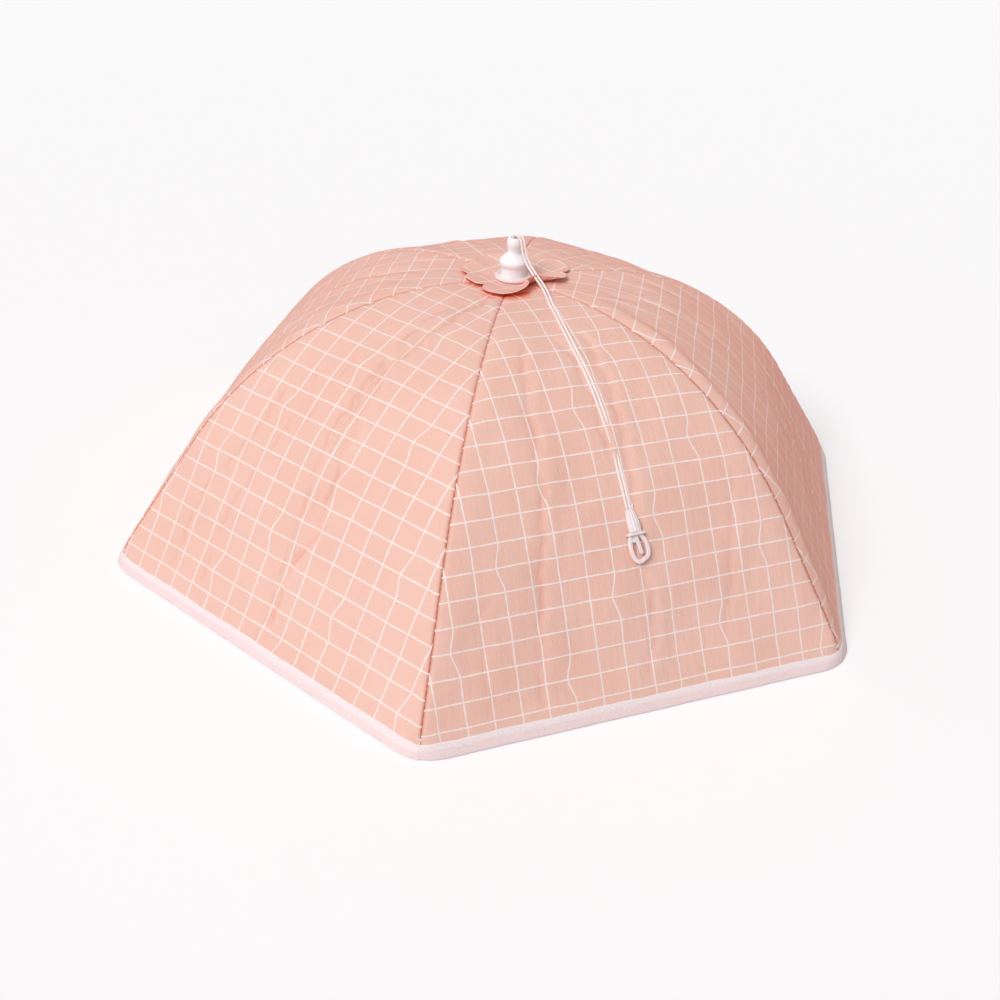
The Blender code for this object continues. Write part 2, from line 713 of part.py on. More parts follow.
def knot_mesh(name, knot_height, top_height):
    # Both strands inside the frame, tied into one knot under the runner
    shape = bmesh.new()
    bmesh.ops.create_icosphere(shape, subdivisions=2, radius=knot_radius)
    bmesh.ops.translate(shape, verts=shape.verts, vec=(0, 0, knot_height))
    blank = mesh_from(shape, name)
    steps = []
    for side in (-1, 1):
        strand = rod_mesh("inner_strand", cord_radius, knot_height, top_height, strand_sides, "Z")
        for vert in strand.vertices:
            vert.co.x += side * cord_pair_offset
        steps.append(("UNION", strand))
    made = combined(blank, steps)
    made.shade_smooth()
    return made


def smooth_line(route, step):
    # Points about a step apart, or closer, on a smooth curve through the points of a route
    ends = [2 * route[0] - route[1], *route, 2 * route[-1] - route[-2]]
    points = []
    for a, b, c, d in zip(ends, ends[1:], ends[2:], ends[3:]):
        pieces = max(1, round((c - b).length / step))
        for k in range(pieces):
            t = k / pieces
            points.append((2 * b + (c - a) * t + (2 * a - 5 * b + 4 * c - d) * t ** 2
                           + (3 * b - a - 3 * c + d) * t ** 3) / 2)
    points.append(route[-1])
    return points


def strand_points(side):
    # One strand of the doubled cord, beside the middle line that both share
    across = Vector((math.cos(cord_pair_turn), math.sin(cord_pair_turn), 0))
    middle = smooth_line([Vector(point) for point in cord_route], cord_step)
    points = []
    for k, point in enumerate(middle):
        spread = cord_pair_spread * math.sin(math.pi * k / (len(middle) - 1))
        points.append(point + across * side * (cord_pair_offset + spread))
    return points


def oval(width, thickness, centre_x, along, foot):
    # A ring of the tab's outline that stands on its underside
    ring = []
    for k in range(tab_sides):
        angle = 2 * math.pi * k / tab_sides
        ring.append((centre_x + width / 2 * math.cos(angle), along,
                     foot + thickness / 2 * (1 + math.sin(angle))))
    return ring


def swept_band(name, path, width, thickness, foot):
    # An oval band along a flat path in the tab's own plane
    rings = []
    for k, point in enumerate(path):
        along = (path[min(k + 1, len(path) - 1)] - path[max(k - 1, 0)]).normalized()
        ring = []
        for j in range(band_sides):
            angle = 2 * math.pi * j / band_sides
            side = width / 2 * math.cos(angle)
            ring.append((point.x - along.y * side, point.y + along.x * side,
                         foot + thickness / 2 * (1 + math.sin(angle))))
        rings.append(ring)
    return lofted(name, rings, [tuple(range(len(rings[0])))])


def tab_mesh(name):
    # The cord goes in at y = 0 and the tab hangs towards -Y; its underside is a strand's radius down
    foot = -cord_radius
    rings = []
    for width_share, length_share in zip(tab_width_shares, tab_length_shares):
        width = tab_mouth_width + (tab_width - tab_mouth_width) * width_share
        thickness = tab_mouth_thickness + (tab_thickness - tab_mouth_thickness) * width_share
        rings.append(oval(width, thickness, tab_lean * length_share,
                          -fit_gap - tab_length * length_share, foot))
    blank = lofted(name, rings, [tuple(range(tab_sides))])
    shoulder = -fit_gap - tab_length
    bar = box_mesh("cross_bar", (tab_lean - bar_width / 2, shoulder - bar_height, foot),
                   (tab_lean + bar_width / 2, shoulder + bar_height / 4,
                    foot + tab_thickness + fit_gap))
    path = [Vector((loop_lean + loop_side * side_share, shoulder - bar_height
                    - loop_length * down_share))
            for side_share, down_share in zip(loop_side_shares, loop_down_shares)]
    loop = swept_band("loop_band", path, band_width, band_thickness, foot + band_width / 4)
    tongue_path = [Vector((tab_lean, shoulder - bar_height / 2)),
                   Vector((tab_lean, shoulder - bar_height - tongue_length + tongue_width / 4)),
                   Vector((tab_lean, shoulder - bar_height - tongue_length))]
    tongue = swept_band("tongue", tongue_path, tongue_width, band_thickness,
                        foot + band_width / 2)
    tail_x = tab_mouth_width / 2 + tail_width / 2
    tail_path = [Vector((tail_x, -tail_length)), Vector((tail_x, tail_length / 2)),
                 Vector((tail_x + tail_width / 4, tail_length))]
    tail = swept_band("tail", tail_path, tail_width, tail_width, foot + tail_width / 4)
    made = combined(blank, [("UNION", bar), ("UNION", loop), ("UNION", tongue), ("UNION", tail)])
    made.shade_smooth()
    made.set_sharp_from_angle(angle=crease_angle)
    return made


def build_cord(finishes):
    for letter, side in (("a", -1), ("b", 1)):
        strand = wire_curve(f"pull_cord_{letter}", strand_points(side), cord_radius)
        add_object(f"pull_cord_{letter}", strand, finishes["cord"])
    # The tab lies along the end of the cord and as flat as the panel under it
    end = Vector(cord_route[-1])
    down = (end - Vector(cord_route[-2])).normalized()
    outward = down.cross(Vector((math.cos(half_side), math.sin(half_side), 0))).normalized()
    across = outward.cross(down)
    tab = add_object("pull_tab", tab_mesh("pull_tab"), finishes["white_plastic"])
    tab.matrix_world = Matrix((across, -down, outward)).transposed().to_4x4()
    tab.location = end


def build_canopy(finishes):
    inner_radius = (cap_spigot_radius + fit_gap) / math.cos(half_side) + corner_cut(seam_width)
    foot = tape_thickness + fit_gap
    cloth = panel_mesh("outer_panel", 0.0, cloth_thickness, inner_radius, foot)
    lining = panel_mesh("insulating_lining", cloth_thickness + fit_gap, wadding_thickness,
                        inner_radius, foot)
    tape = hem_mesh("hem_binding")
    for k in range(side_count):
        turn = -math.pi / 2 + half_side * (2 * k + 1)
        add_object(f"outer_panel_{k + 1}", cloth, finishes["cloth"], turn=turn)
        add_object(f"insulating_lining_{k + 1}", lining, finishes["foil"], turn=turn)
        add_object(f"hem_binding_{k + 1}", tape, finishes["tape"], turn=turn)
    patch = petal_mesh("petal_patch", cap_spigot_radius + fit_gap)
    add_object("petal_patch", patch, finishes["cloth"])


def build_hub(finishes):
    add_object("top_cap", cap_mesh("top_cap"), finishes["white_plastic"])
    add_object("hub_notch", hub_mesh("hub_notch"), finishes["white_plastic"], turn=math.pi / 2)
    add_object("hub_ring_wire", ring_mesh("hub_ring_wire"), finishes["steel"],
               location=(0, 0, hub_pivot_height))


def build_ribs(finishes):
    wire = wire_curve("rib_wire", rib_points(), rib_wire_radius)
    tip_end = leg_point(rib_end_height, rib_depth)
    cup_rise = (tip_cup_depth + fit_gap) * math.sin(leg_slope)
    sleeve = sleeve_mesh("rib_sleeve", sleeve_start_radius, rib_end_height + cup_rise)
    tip = tip_mesh("rib_tip")
    bracket = bracket_mesh("stretcher_bracket")
    stretcher = wire_curve("stretcher_wire", stretcher_points(), stretcher_wire_radius)
    for k in range(side_count):
        azimuth = -math.pi / 2 + 2 * half_side * k
        hinge = add_hinge(f"rib_hinge_{k + 1}", azimuth, pivot_radius, hub_pivot_height)
        add_object(f"rib_wire_{k + 1}", wire, finishes["steel"], hinge)
        add_object(f"rib_sleeve_{k + 1}", sleeve, finishes["sleeve"], hinge)
        add_object(f"rib_tip_{k + 1}", tip, finishes["white_plastic"], hinge,
                   (tip_end[0] - pivot_radius, 0, tip_end[1] - hub_pivot_height), 0.0, leg_slope)
        add_object(f"stretcher_bracket_{k + 1}", bracket, finishes["white_plastic"], hinge,
                   (bracket_place[0] - pivot_radius, 0, bracket_place[1] - hub_pivot_height),
                   0.0, bracket_slope)
        pin = add_hinge(f"stretcher_hinge_{k + 1}", azimuth, pin_place[0], pin_place[1])
        add_object(f"stretcher_wire_{k + 1}", stretcher, finishes["steel"], pin)


def build_runner(finishes):
    azimuth = -math.pi / 2
    hinge = add_hinge("runner_hinge", azimuth, pivot_radius, runner_pivot_height)
    centre = (-pivot_radius, 0, 0)
    add_object("runner", runner_mesh("runner"), finishes["white_plastic"], hinge, centre)
    add_object("runner_ring_wire", ring_mesh("runner_ring_wire"), finishes["steel"], hinge, centre)
    eye_reach = stretcher_eye_radius + stretcher_wire_radius + fit_gap
    bottom = -eye_reach - runner_web
    knot_height = bottom - fit_gap - knot_radius
    mouth = (seat_height + 2 * fit_gap + cloth_thickness + cap_flange_thickness + cap_neck_height
             + cap_dome_edge + cap_throat_height + cap_knob_height)
    top_height = mouth - cord_mouth_depth - fit_gap - runner_pivot_height
    add_object("cord_knot", knot_mesh("cord_knot", knot_height, top_height), finishes["cord"],
               hinge, centre, cord_pair_turn - azimuth)


def build():
    clear_scene()
    finishes = {
        "cloth": colour("printed_cloth", (0.86, 0.47, 0.35), 0.85),
        "foil": colour("foil_lining", (0.78, 0.79, 0.80), 0.35, 0.6),
        "tape": colour("binding_tape", (0.90, 0.86, 0.85), 0.7),
        "sleeve": colour("rib_tunnel", (0.88, 0.62, 0.52), 0.85),
        "white_plastic": colour("white_plastic", (0.90, 0.89, 0.88), 0.4),
        "steel": colour("spring_steel", (0.60, 0.60, 0.62), 0.35, 1.0),
        "cord": colour("white_cord", (0.92, 0.90, 0.89), 0.8),
    }
    build_canopy(finishes)
    build_hub(finishes)
    build_ribs(finishes)
    build_runner(finishes)
    build_cord(finishes)


build()
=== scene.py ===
import math

import bmesh
import bpy
import numpy as np
from mathutils import Matrix, Vector


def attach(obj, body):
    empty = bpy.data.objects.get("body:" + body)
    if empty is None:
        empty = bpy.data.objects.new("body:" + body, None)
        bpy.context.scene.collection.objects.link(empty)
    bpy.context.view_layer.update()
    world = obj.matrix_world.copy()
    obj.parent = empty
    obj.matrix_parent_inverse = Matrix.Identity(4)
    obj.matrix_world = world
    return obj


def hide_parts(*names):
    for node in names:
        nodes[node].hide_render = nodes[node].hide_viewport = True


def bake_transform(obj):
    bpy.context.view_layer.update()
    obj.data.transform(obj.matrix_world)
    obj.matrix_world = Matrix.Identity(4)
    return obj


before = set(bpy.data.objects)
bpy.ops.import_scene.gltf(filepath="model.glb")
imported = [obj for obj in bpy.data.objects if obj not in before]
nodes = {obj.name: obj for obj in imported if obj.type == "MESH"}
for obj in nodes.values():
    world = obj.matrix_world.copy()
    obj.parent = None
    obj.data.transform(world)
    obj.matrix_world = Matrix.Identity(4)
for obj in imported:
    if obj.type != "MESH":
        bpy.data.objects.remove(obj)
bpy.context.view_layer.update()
bpy.ops.object.select_all(action="DESELECT")
print("frame loaded:", len(nodes), "nodes")

# helpers for materials


def linear(red, green, blue):
    # a colour given in sRGB, 0 to 255, as Blender wants it
    return tuple(((c / 255 + 0.055) / 1.055) ** 2.4 if c > 10 else c / 3294.6
                 for c in (red, green, blue)) + (1.0,)


class Field:
    # a value that changes over a surface: sums of fields and numbers become Math nodes

    def __init__(self, socket):
        self.socket, self.tree = socket, socket.id_data

    def maths(self, operation, *others):
        return newNode(self.tree, "Math", dict(enumerate((self, *others))), operation=operation)

    def __add__(self, other):
        return self.maths("ADD", other)

    def __sub__(self, other):
        return self.maths("SUBTRACT", other)

    def __mul__(self, other):
        return self.maths("MULTIPLY", other)

    def __truediv__(self, other):
        return self.maths("DIVIDE", other)

    def __abs__(self):
        return self.maths("ABSOLUTE")


def put(entry, value):
    # a field is linked, a number or a colour is set
    if isinstance(value, Field):
        value.tree.links.new(value.socket, entry)
    else:
        entry.default_value = value


def setInputs(node, **values):
    for label, value in values.items():
        put(node.inputs[label.replace("_", " ")], value)


def newNode(tree, kind, entries, outlet=0, **settings):
    made = tree.nodes.new("ShaderNode" + kind)
    for key, value in settings.items():
        setattr(made, key, value)
    for key, value in entries.items():
        put(made.inputs[key], value)
    return Field(made.outputs[outlet])


def band(value, low, high, before=0.0, after=1.0):
    # goes smoothly from one number to another while the value goes from low to high
    entries = {"Value": value, "From Min": low, "From Max": high, "To Min": before, "To Max": after}
    return newNode(value.tree, "MapRange", entries, interpolation_type="SMOOTHSTEP")


def mix(share, first, second):
    tree = next(value.tree for value in (share, first, second) if isinstance(value, Field))
    return newNode(tree, "Mix", {0: share, 6: first, 7: second}, 2, data_type="RGBA")


def noise(vector, scale, detail=2.0, roughness=0.5):
    entries = {"Vector": vector, "Scale": scale, "Detail": detail, "Roughness": roughness}
    return newNode(vector.tree, "TexNoise", entries, "Fac")


def streaks(vector, across, along, detail=2.0, roughness=0.5):
    # noise that is finer one way than the other
    drawn = newNode(vector.tree, "Mapping", {"Vector": vector, "Scale": (across, along, 1.0)})
    return noise(drawn, 1.0, detail, roughness)


def bump(height, distance, strength, under=None):
    entries = {"Distance": distance, "Strength": strength, "Height": height}
    if under is not None:
        entries["Normal"] = under
    return newNode(height.tree, "Bump", entries)


def split(vector):
    made = newNode(vector.tree, "SeparateXYZ", {0: vector}).socket.node
    return [Field(outlet) for outlet in made.outputs]


def newGroup(name, outlets, **numbers):
    # an effect that several materials share: a vector and some numbers in, masks or heights out
    group = bpy.data.node_groups.new(name, "ShaderNodeTree")
    group.interface.new_socket("Vector", in_out="INPUT", socket_type="NodeSocketVector")
    for label, value in numbers.items():
        entry = group.interface.new_socket(label.replace("_", " "), in_out="INPUT",
                                           socket_type="NodeSocketFloat")
        entry.default_value = value
    for label in outlets:
        group.interface.new_socket(label, in_out="OUTPUT", socket_type="NodeSocketFloat")
    given = group.nodes.new("NodeGroupInput")
    return group, [Field(outlet) for outlet in given.outputs[:len(numbers) + 1]], \
        group.nodes.new("NodeGroupOutput")


def useGroup(group, vector, **values):
    node = vector.tree.nodes.new("ShaderNodeGroup")
    node.node_tree = group
    setInputs(node, Vector=vector, **values)
    return [Field(outlet) for outlet in node.outputs]


def newFinish(name, colour, roughness, onUv=True, **sockets):
    # a material, its shader, and the coordinates that its pattern follows
    finish = bpy.data.materials.new(name)
    finish.use_nodes = True
    finish.diffuse_color = colour
    tree = finish.node_tree
    shader = tree.nodes["Principled BSDF"]
    setInputs(shader, Base_Color=colour, Roughness=roughness, **sockets)
    if onUv:
        return finish, shader, newNode(tree, "UVMap", {}, uv_map="UVMap")
    return finish, shader, newNode(tree, "TexCoord", {}, "Object")


# helpers for meshes


def millimetres(values):
    return tuple(value / 1000 for value in values)


def addToScene(name, data):
    made = bpy.data.objects.new(name, data)
    bpy.context.scene.collection.objects.link(made)
    return made


def only(piece=None):
    # selects one piece, or nothing
    bpy.ops.object.select_all(action="DESELECT")
    if piece:
        piece.select_set(True)
        bpy.context.view_layer.objects.active = piece


def shadeSmooth(piece, degrees=40):
    only(piece)
    bpy.ops.object.shade_smooth_by_angle(angle=math.radians(degrees))
    only()


def applyModifier(piece, kind, **settings):
    change = piece.modifiers.new(kind.lower(), kind)
    for key, value in settings.items():
        setattr(change, key, value)
    only(piece)
    bpy.ops.object.modifier_apply(modifier=change.name)
    only()


def thicken(piece, thickness, degrees=40):
    # gives a sheet its thickness, inwards from its outer face
    applyModifier(piece, "SOLIDIFY", thickness=thickness, offset=-1, use_rim=True)
    shadeSmooth(piece, degrees)


def meshPiece(name, verts, faces, finish, uv=None, smooth=40):
    # a mesh straight from numbers, for cloth, thread and cords
    mesh = bpy.data.meshes.new(name)
    mesh.from_pydata([tuple(v) for v in verts], [], [tuple(f) for f in faces])
    if uv is not None:
        layer = mesh.uv_layers.new(name="UVMap")
        index = np.zeros(len(mesh.loops), dtype=np.int32)
        mesh.loops.foreach_get("vertex_index", index)
        layer.data.foreach_set("uv", np.asarray(uv, dtype=np.float32)[index].ravel())
    mesh.materials.append(finish)
    piece = addToScene(name, mesh)
    if smooth:
        shadeSmooth(piece, smooth)
    return piece


def startEdit(name):
    # names the primitive just added, puts its place into its mesh and opens it for editing
    piece = bpy.context.object
    piece.name = piece.data.name = name
    bpy.ops.object.transform_apply()
    bpy.ops.object.mode_set(mode="EDIT")
    bpy.ops.mesh.select_all(action="SELECT")
    return piece


def pick(piece, kind, test):
    # in edit mode, selects the faces or edges whose middle passes the test
    bpy.ops.mesh.select_all(action="DESELECT")
    bpy.ops.mesh.select_mode(type=kind)
    shape = bmesh.from_edit_mesh(piece.data)
    for part in shape.faces if kind == "FACE" else shape.edges:
        if test(sum((v.co for v in part.verts), Vector()) / len(part.verts), part):
            part.select_set(True)
    shape.select_flush_mode()
    bmesh.update_edit_mesh(piece.data)


def pull(x, y, z):
    bpy.ops.mesh.extrude_region_move(TRANSFORM_OT_translate={"value": (x, y, z)})


def endEdit(piece, finish, merge=0.00001):
    # closes the shape and turns its faces outwards
    bpy.ops.mesh.select_all(action="SELECT")
    bpy.ops.mesh.remove_doubles(threshold=merge)
    bpy.ops.mesh.normals_make_consistent(inside=False)
    bpy.ops.object.mode_set(mode="OBJECT")
    piece.data.materials.append(finish)
    shadeSmooth(piece, 35)


def copiesRound(first, name):
    # the piece made on rib 1, and a copy of it turned to each of the other ribs
    pieces = [first]
    for rib in range(2, 7):
        piece = addToScene(f"{name}{rib}", first.data.copy())
        piece.data.name = piece.name
        piece.data.transform(Matrix.Rotation(math.pi / 3 * (rib - 1), 4, "Z"))
        pieces.append(piece)
    return pieces


def mount(piece, node=None, body=None):
    # the body it moves with, and the CAD node it stands for
    if body:
        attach(piece, body)
    if node:
        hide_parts(node)
    return piece


def joinParts(parts):
    verts, faces = [], []
    for someVerts, someFaces in parts:
        base = len(verts)
        verts += someVerts
        faces += [tuple(base + k for k in face) for face in someFaces]
    return verts, faces


def ringPoints(middle, across, up, radius, sides):
    turns = (2 * math.pi * j / sides for j in range(sides))
    return [middle + (across * math.cos(turn) + up * math.sin(turn)) * radius for turn in turns]


def ringFaces(rings, sides, flip=False, close=False):
    # quads from each closed ring of points to the next, and a face over each end
    faces = []
    for a in range(0, (rings - 1) * sides, sides):
        for j in range(sides):
            near, far = a + (j + 1) % sides, a + sides + (j + 1) % sides
            faces.append((a + j, a + sides + j, far, near) if flip else (a + j, near, far, a + sides + j))
    if close:
        faces += [tuple(range(sides))[::-1], tuple(range((rings - 1) * sides, rings * sides))]
    return faces


def stitchParts(start, end, normal, radius, hump=0.0):
    # one stitch: a short thread that dips into the cloth at both ends
    along = (end - start).normalized()
    across = along.cross(normal).normalized()
    up = across.cross(along)
    verts = []
    # place along the stitch, size and dip of each ring
    rings = ((0.0, 0.35, -0.9), (0.12, 0.85, -0.15), (0.5, 1.0, 0.0), (0.88, 0.85, -0.15), (1.0, 0.35, -0.9))
    for share, size, dip in rings:
        middle = start.lerp(end, share) + up * (dip * radius + hump * math.sin(math.pi * share))
        verts += ringPoints(middle, across, up, size * radius, 6)
    return verts, ringFaces(len(rings), 6, close=True)


def curveThrough(route, step):
    # points about a step apart, or closer, on a smooth curve through the points of a route
    ends = [2 * route[0] - route[1], *route, 2 * route[-1] - route[-2]]
    points = []
    for a, b, c, d in zip(ends, ends[1:], ends[2:], ends[3:]):
        pieces = max(1, round((c - b).length / step))
        for t in (k / pieces for k in range(pieces)):
            points.append((2 * b + (c - a) * t + (2 * a - 5 * b + 4 * c - d) * t ** 2
                           + (3 * b - a - 3 * c + d) * t ** 3) / 2)
    return points + [route[-1]]


def tubeParts(points, radius, sides, close=True):
    # a round tube along points, with UV in metres: turn and length
    verts, uv = [], []
    across = (points[1] - points[0]).orthogonal()
    length = 0.0
    for before, point, after in zip(points[:1] + points, points, points[1:] + points[-1:]):
        along = (after - before).normalized()
        across = (across - along * across.dot(along)).normalized()
        length += (point - before).length
        verts += ringPoints(point, across, along.cross(across), radius, sides)
        uv += [(j / sides, length) for j in range(sides)]
    return verts, ringFaces(len(points), sides, close=close), uv


# camera, at the photo's place

camera = {
    "place": (0.11748, -0.80314, 0.51293),
    "right": (0.98456, 0.17080, 0.03827),
    "up": (-0.12318, 0.52080, 0.84475),
    "back": (0.12435, -0.83642, 0.53380),
    "lens": 43.343,
    "sensor": 36.0,
}
cameraData = bpy.data.cameras.new("camera")
cameraData.lens, cameraData.sensor_width = camera["lens"], camera["sensor"]
cameraData.clip_start, cameraData.clip_end = 0.01, 50
cameraObject = addToScene("camera", cameraData)
turnOfCamera = Matrix((camera["right"], camera["up"], camera["back"])).transposed()
cameraObject.matrix_world = Matrix.Translation(camera["place"]) @ turnOfCamera.to_4x4()
bpy.context.scene.camera = cameraObject
print("camera set")

# shared effects


def makeGrainGroup():
    # fine unevenness of a moulded or drawn surface
    group, (vector, scale, stretch), result = newGroup("fineGrain", ("Height", "Shade"),
                                                       Scale=900.0, Stretch=1.0)
    x, y, z = split(vector)
    place = newNode(group, "CombineXYZ", {0: x, 1: y, 2: z * stretch})
    setInputs(result, Height=noise(place, scale, 3.0), Shade=noise(place, scale * 0.12))
    return group


def makeWeaveGroup():
    # twill: ribs that run diagonally over crossing threads, on a UV map in metres
    group, (vector, pitch, lean), result = newGroup("twillWeave", ("Height", "Shade"),
                                                    Pitch=0.0011, Lean=1.0)
    x, y, z = split(vector)
    ribs = ((x * lean + y) / pitch * (2 * math.pi)).maths("SINE")
    threads = (x / pitch * (2 * math.pi)).maths("SINE")
    slubs = streaks(vector, 1300.0, 240.0) + streaks(vector, 240.0, 1300.0)
    setInputs(result, Height=ribs * 0.5 + threads * 0.2 + noise(vector, 420.0, 3.0) * 0.8,
              Shade=slubs * 0.5)
    return group


def makeCheckGroup():
    # thin printed lines with a wobble now and then in the lines that run down the cloth
    group, (vector, cellWidth, cellHeight, lineWidth, wobble), result = newGroup(
        "checkPrint", ("Line",), Cell_Width=0.018, Cell_Height=0.015, Line_Width=0.0012, Wobble=0.0036)
    x, y, z = split(vector)
    drift = (noise(vector, 34.0) - 0.5) * 0.0016
    column, row = (x + drift) / cellWidth, (y + drift) / cellHeight
    nearest = column.maths("ROUND")
    pair = (nearest / 2.0).maths("FLOOR")
    odd = nearest - pair * 2.0
    # every other line wobbles once in eight rows, each pair of lines five rows on
    phase = (row - pair * 5.0 + 3.0).maths("FLOORED_MODULO", 8.0)
    bulge = band(abs(phase - 4.0), 0.0, 1.0, 1.0, 0.0) * odd * wobble
    columnGap = abs((column - nearest) * cellWidth + bulge)
    rowGap = abs((row - row.maths("ROUND")) * cellHeight)
    edge = (noise(vector, 260.0) + 0.05) * lineWidth
    columnLine, rowLine = (band(gap, edge, edge + 0.00022, 1.0, 0.0) for gap in (columnGap, rowGap))
    setInputs(result, Line=columnLine.maths("MAXIMUM", rowLine))
    return group


grainGroup = makeGrainGroup()
weaveGroup = makeWeaveGroup()
checkGroup = makeCheckGroup()

cloth = {
    "colour": linear(241, 197, 184),
    "shade": linear(237, 189, 174),
    "roughness": 0.82,
    "sheen": linear(211, 96, 62),
    "twillPitch": 0.00125,
    "cellWidth": 0.01795,
    "cellHeight": 0.0151,
    "lineWidth": 0.00066,
    "creaseReach": 0.0036,
    # colour and strength of what lies over the ground: painted shade along creases, beside the seams and below
    # the patch, and the print
    "paintedCreaseShade": (linear(222, 140, 116), 0.34),
    "paintedSeamShade": (linear(196, 100, 76), 0.72),
    "paintedUnderPatchShade": (linear(240, 112, 72), 0.9),
    "print": (linear(250, 232, 231), 0.86),
}


def makeClothMaterial():
    finish, shader, uv = newFinish("printedCloth", cloth["colour"], cloth["roughness"],
                                   Sheen_Weight=0.62, Sheen_Roughness=0.42, Sheen_Tint=cloth["sheen"],
                                   Specular_IOR_Level=0.06, Subsurface_Weight=0.35,
                                   Subsurface_Scale=0.0016, Subsurface_Radius=(1.0, 0.36, 0.22))
    weave, slubs = useGroup(weaveGroup, uv, Pitch=cloth["twillPitch"])
    line, = useGroup(checkGroup, uv, Cell_Width=cloth["cellWidth"], Cell_Height=cloth["cellHeight"],
                     Line_Width=cloth["lineWidth"])
    tone = slubs * 0.40 + noise(uv, 14.0, 3.0) * 0.60
    colour = mix(band(tone, 0.28, 0.74), cloth["shade"], cloth["colour"])
    # each point of a panel knows how far the nearest crease is, how sharp that is, and how much painted shade
    # it takes beside the seam and below the patch
    gap, depth, paintedSeamShade, under = (newNode(uv.tree, "Attribute", {}, "Fac", attribute_name=name)
                               for name in ("creaseGap", "creaseDepth", "seamShade", "patchShade"))
    gap = gap + (noise(uv, 90.0, 3.0) - 0.5) * cloth["creaseReach"]
    # the crease lines get a painted shade, darker along the folds
    fold = band(abs(gap), 0.0, cloth["creaseReach"], 1.0, 0.0) * depth
    fold = fold * band(noise(uv, 38.0), 0.34, 0.66)
    # painted crease, seam and under-patch shade go over the ground colour, then the print
    for field, name in ((fold, "paintedCreaseShade"), (paintedSeamShade, "paintedSeamShade"), (under, "paintedUnderPatchShade"), (line, "print")):
        over, strength = cloth[name]
        colour = mix(field * strength, colour, over)
    ridge = band(gap, -0.0016, 0.0016) * depth * 0.30
    folds = bump(streaks(uv, 120.0, 22.0, 3.0, 0.6) - fold * 0.35 + ridge, 0.0009, 0.7)
    setInputs(shader, Base_Color=colour, Normal=bump(weave + line * 0.5, 0.00010, 0.6, folds),
              Roughness=line * -0.22 + cloth["roughness"])
    return finish


tape = {"colour": linear(243, 231, 234), "shade": linear(239, 211, 209), "threadPitch": 0.0009}


def makeTapeMaterial():
    finish, shader, uv = newFinish("bindingTape", tape["colour"], 0.7, Sheen_Weight=0.1,
                                   Specular_IOR_Level=0.3)
    weave, slubs = useGroup(weaveGroup, uv, Pitch=tape["threadPitch"], Lean=-0.6)
    cloudy = streaks(uv, 110.0, 420.0, 3.0)
    nap = band(streaks(uv, 620.0, 980.0), 0.34, 0.66)
    upper = band(split(uv)[1], 0.0024, 0.0062, 1.0, 0.0)  # paler along the tape's upper edge
    share = upper * 0.45 + cloudy * 0.35 + nap * 0.32
    folds = bump(nap * 0.35 + cloudy, 0.0006, 0.6)
    setInputs(shader, Base_Color=mix(share, tape["shade"], tape["colour"]),
              Normal=bump(weave, 0.00012, 0.7, folds), Roughness=slubs * 0.2 + 0.6)
    return finish


foil = {"colour": linear(222, 224, 226), "shade": linear(196, 198, 202), "crushScale": 95.0}


def makeFoilMaterial():
    finish, shader, uv = newFinish("foilLining", foil["colour"], 0.34, Metallic=0.85)
    bent = mix(0.12, uv, noise(uv, 60.0))
    crush = newNode(uv.tree, "TexVoronoi", {"Vector": bent, "Scale": foil["crushScale"]}, "Distance",
                    feature="DISTANCE_TO_EDGE")
    # the crinkle lines of the crushed foil are painted darker: painted shade in its creases
    crushed = band(crush, 0.0, 0.24)
    soft = noise(uv, 240.0, 4.0)
    setInputs(shader, Base_Color=mix(crushed, foil["shade"], foil["colour"]),
              Normal=bump(crushed * 0.7 + soft * 0.5, 0.00042, 0.6), Roughness=soft * 0.24 + 0.20)
    return finish


def makeGrainFinish(name, colour, shade, roughness, scale=700.0, stretch=1.0, reach=0.2, depth=0.00004,
                    swing=0.18, **sockets):
    # moulded plastic or drawn wire
    colour, shade = linear(*colour), linear(*shade)
    finish, shader, place = newFinish(name, colour, roughness, onUv=False, **sockets)
    height, tone = useGroup(grainGroup, place, Scale=scale, Stretch=stretch)
    setInputs(shader, Base_Color=mix(band(tone, 0.5 - reach, 0.5 + reach), shade, colour),
              Normal=bump(height, depth, 0.5), Roughness=height * swing + (roughness - swing / 2))
    return finish


def makeCordMaterial(name, colour, shade, braid):
    # crossing yarns round a cord, on its UV map: turn and length
    finish, shader, uv = newFinish(name, colour, 0.72, Sheen_Weight=0.15)
    turn, length, z = split(uv)
    around, along = turn * (2 * math.pi * 3), length * (2 * math.pi / braid)
    height = (around + along).maths("SINE").maths("MAXIMUM", (around - along).maths("SINE"))
    # the colour is darker where the yarns dip between each other: painted shade between the yarns
    share = band(height, -0.4, 0.9)
    setInputs(shader, Base_Color=mix(share, shade, colour), Normal=bump(height, 0.00010, 0.6),
              Roughness=share * -0.12 + 0.78)
    return finish


def makeTunnelMaterial():
    # plain woven strip that the ribs run in, on its UV map in metres
    colour, shade = linear(242, 208, 197), linear(228, 184, 170)
    finish, shader, uv = newFinish("tunnelCloth", colour, 0.8, Sheen_Weight=0.1, Specular_IOR_Level=0.25)
    weave, slubs = useGroup(weaveGroup, uv, Pitch=tape["threadPitch"], Lean=0.0)
    setInputs(shader, Base_Color=mix(band(slubs, 0.35, 0.68), shade, colour),
              Normal=bump(weave, 0.00010, 0.7), Roughness=slubs * 0.2 + 0.7)
    return finish


def makeThreadMaterial(name, colour, shade):
    colour, shade = linear(*colour), linear(*shade)
    finish, shader, place = newFinish(name, colour, 0.66, onUv=False, Sheen_Weight=0.1)
    height, tone = useGroup(grainGroup, place, Scale=2600.0)
    setInputs(shader, Base_Color=mix(band(height, 0.35, 0.65), shade, colour),
              Normal=bump(height, 0.00008, 0.7))
    return finish


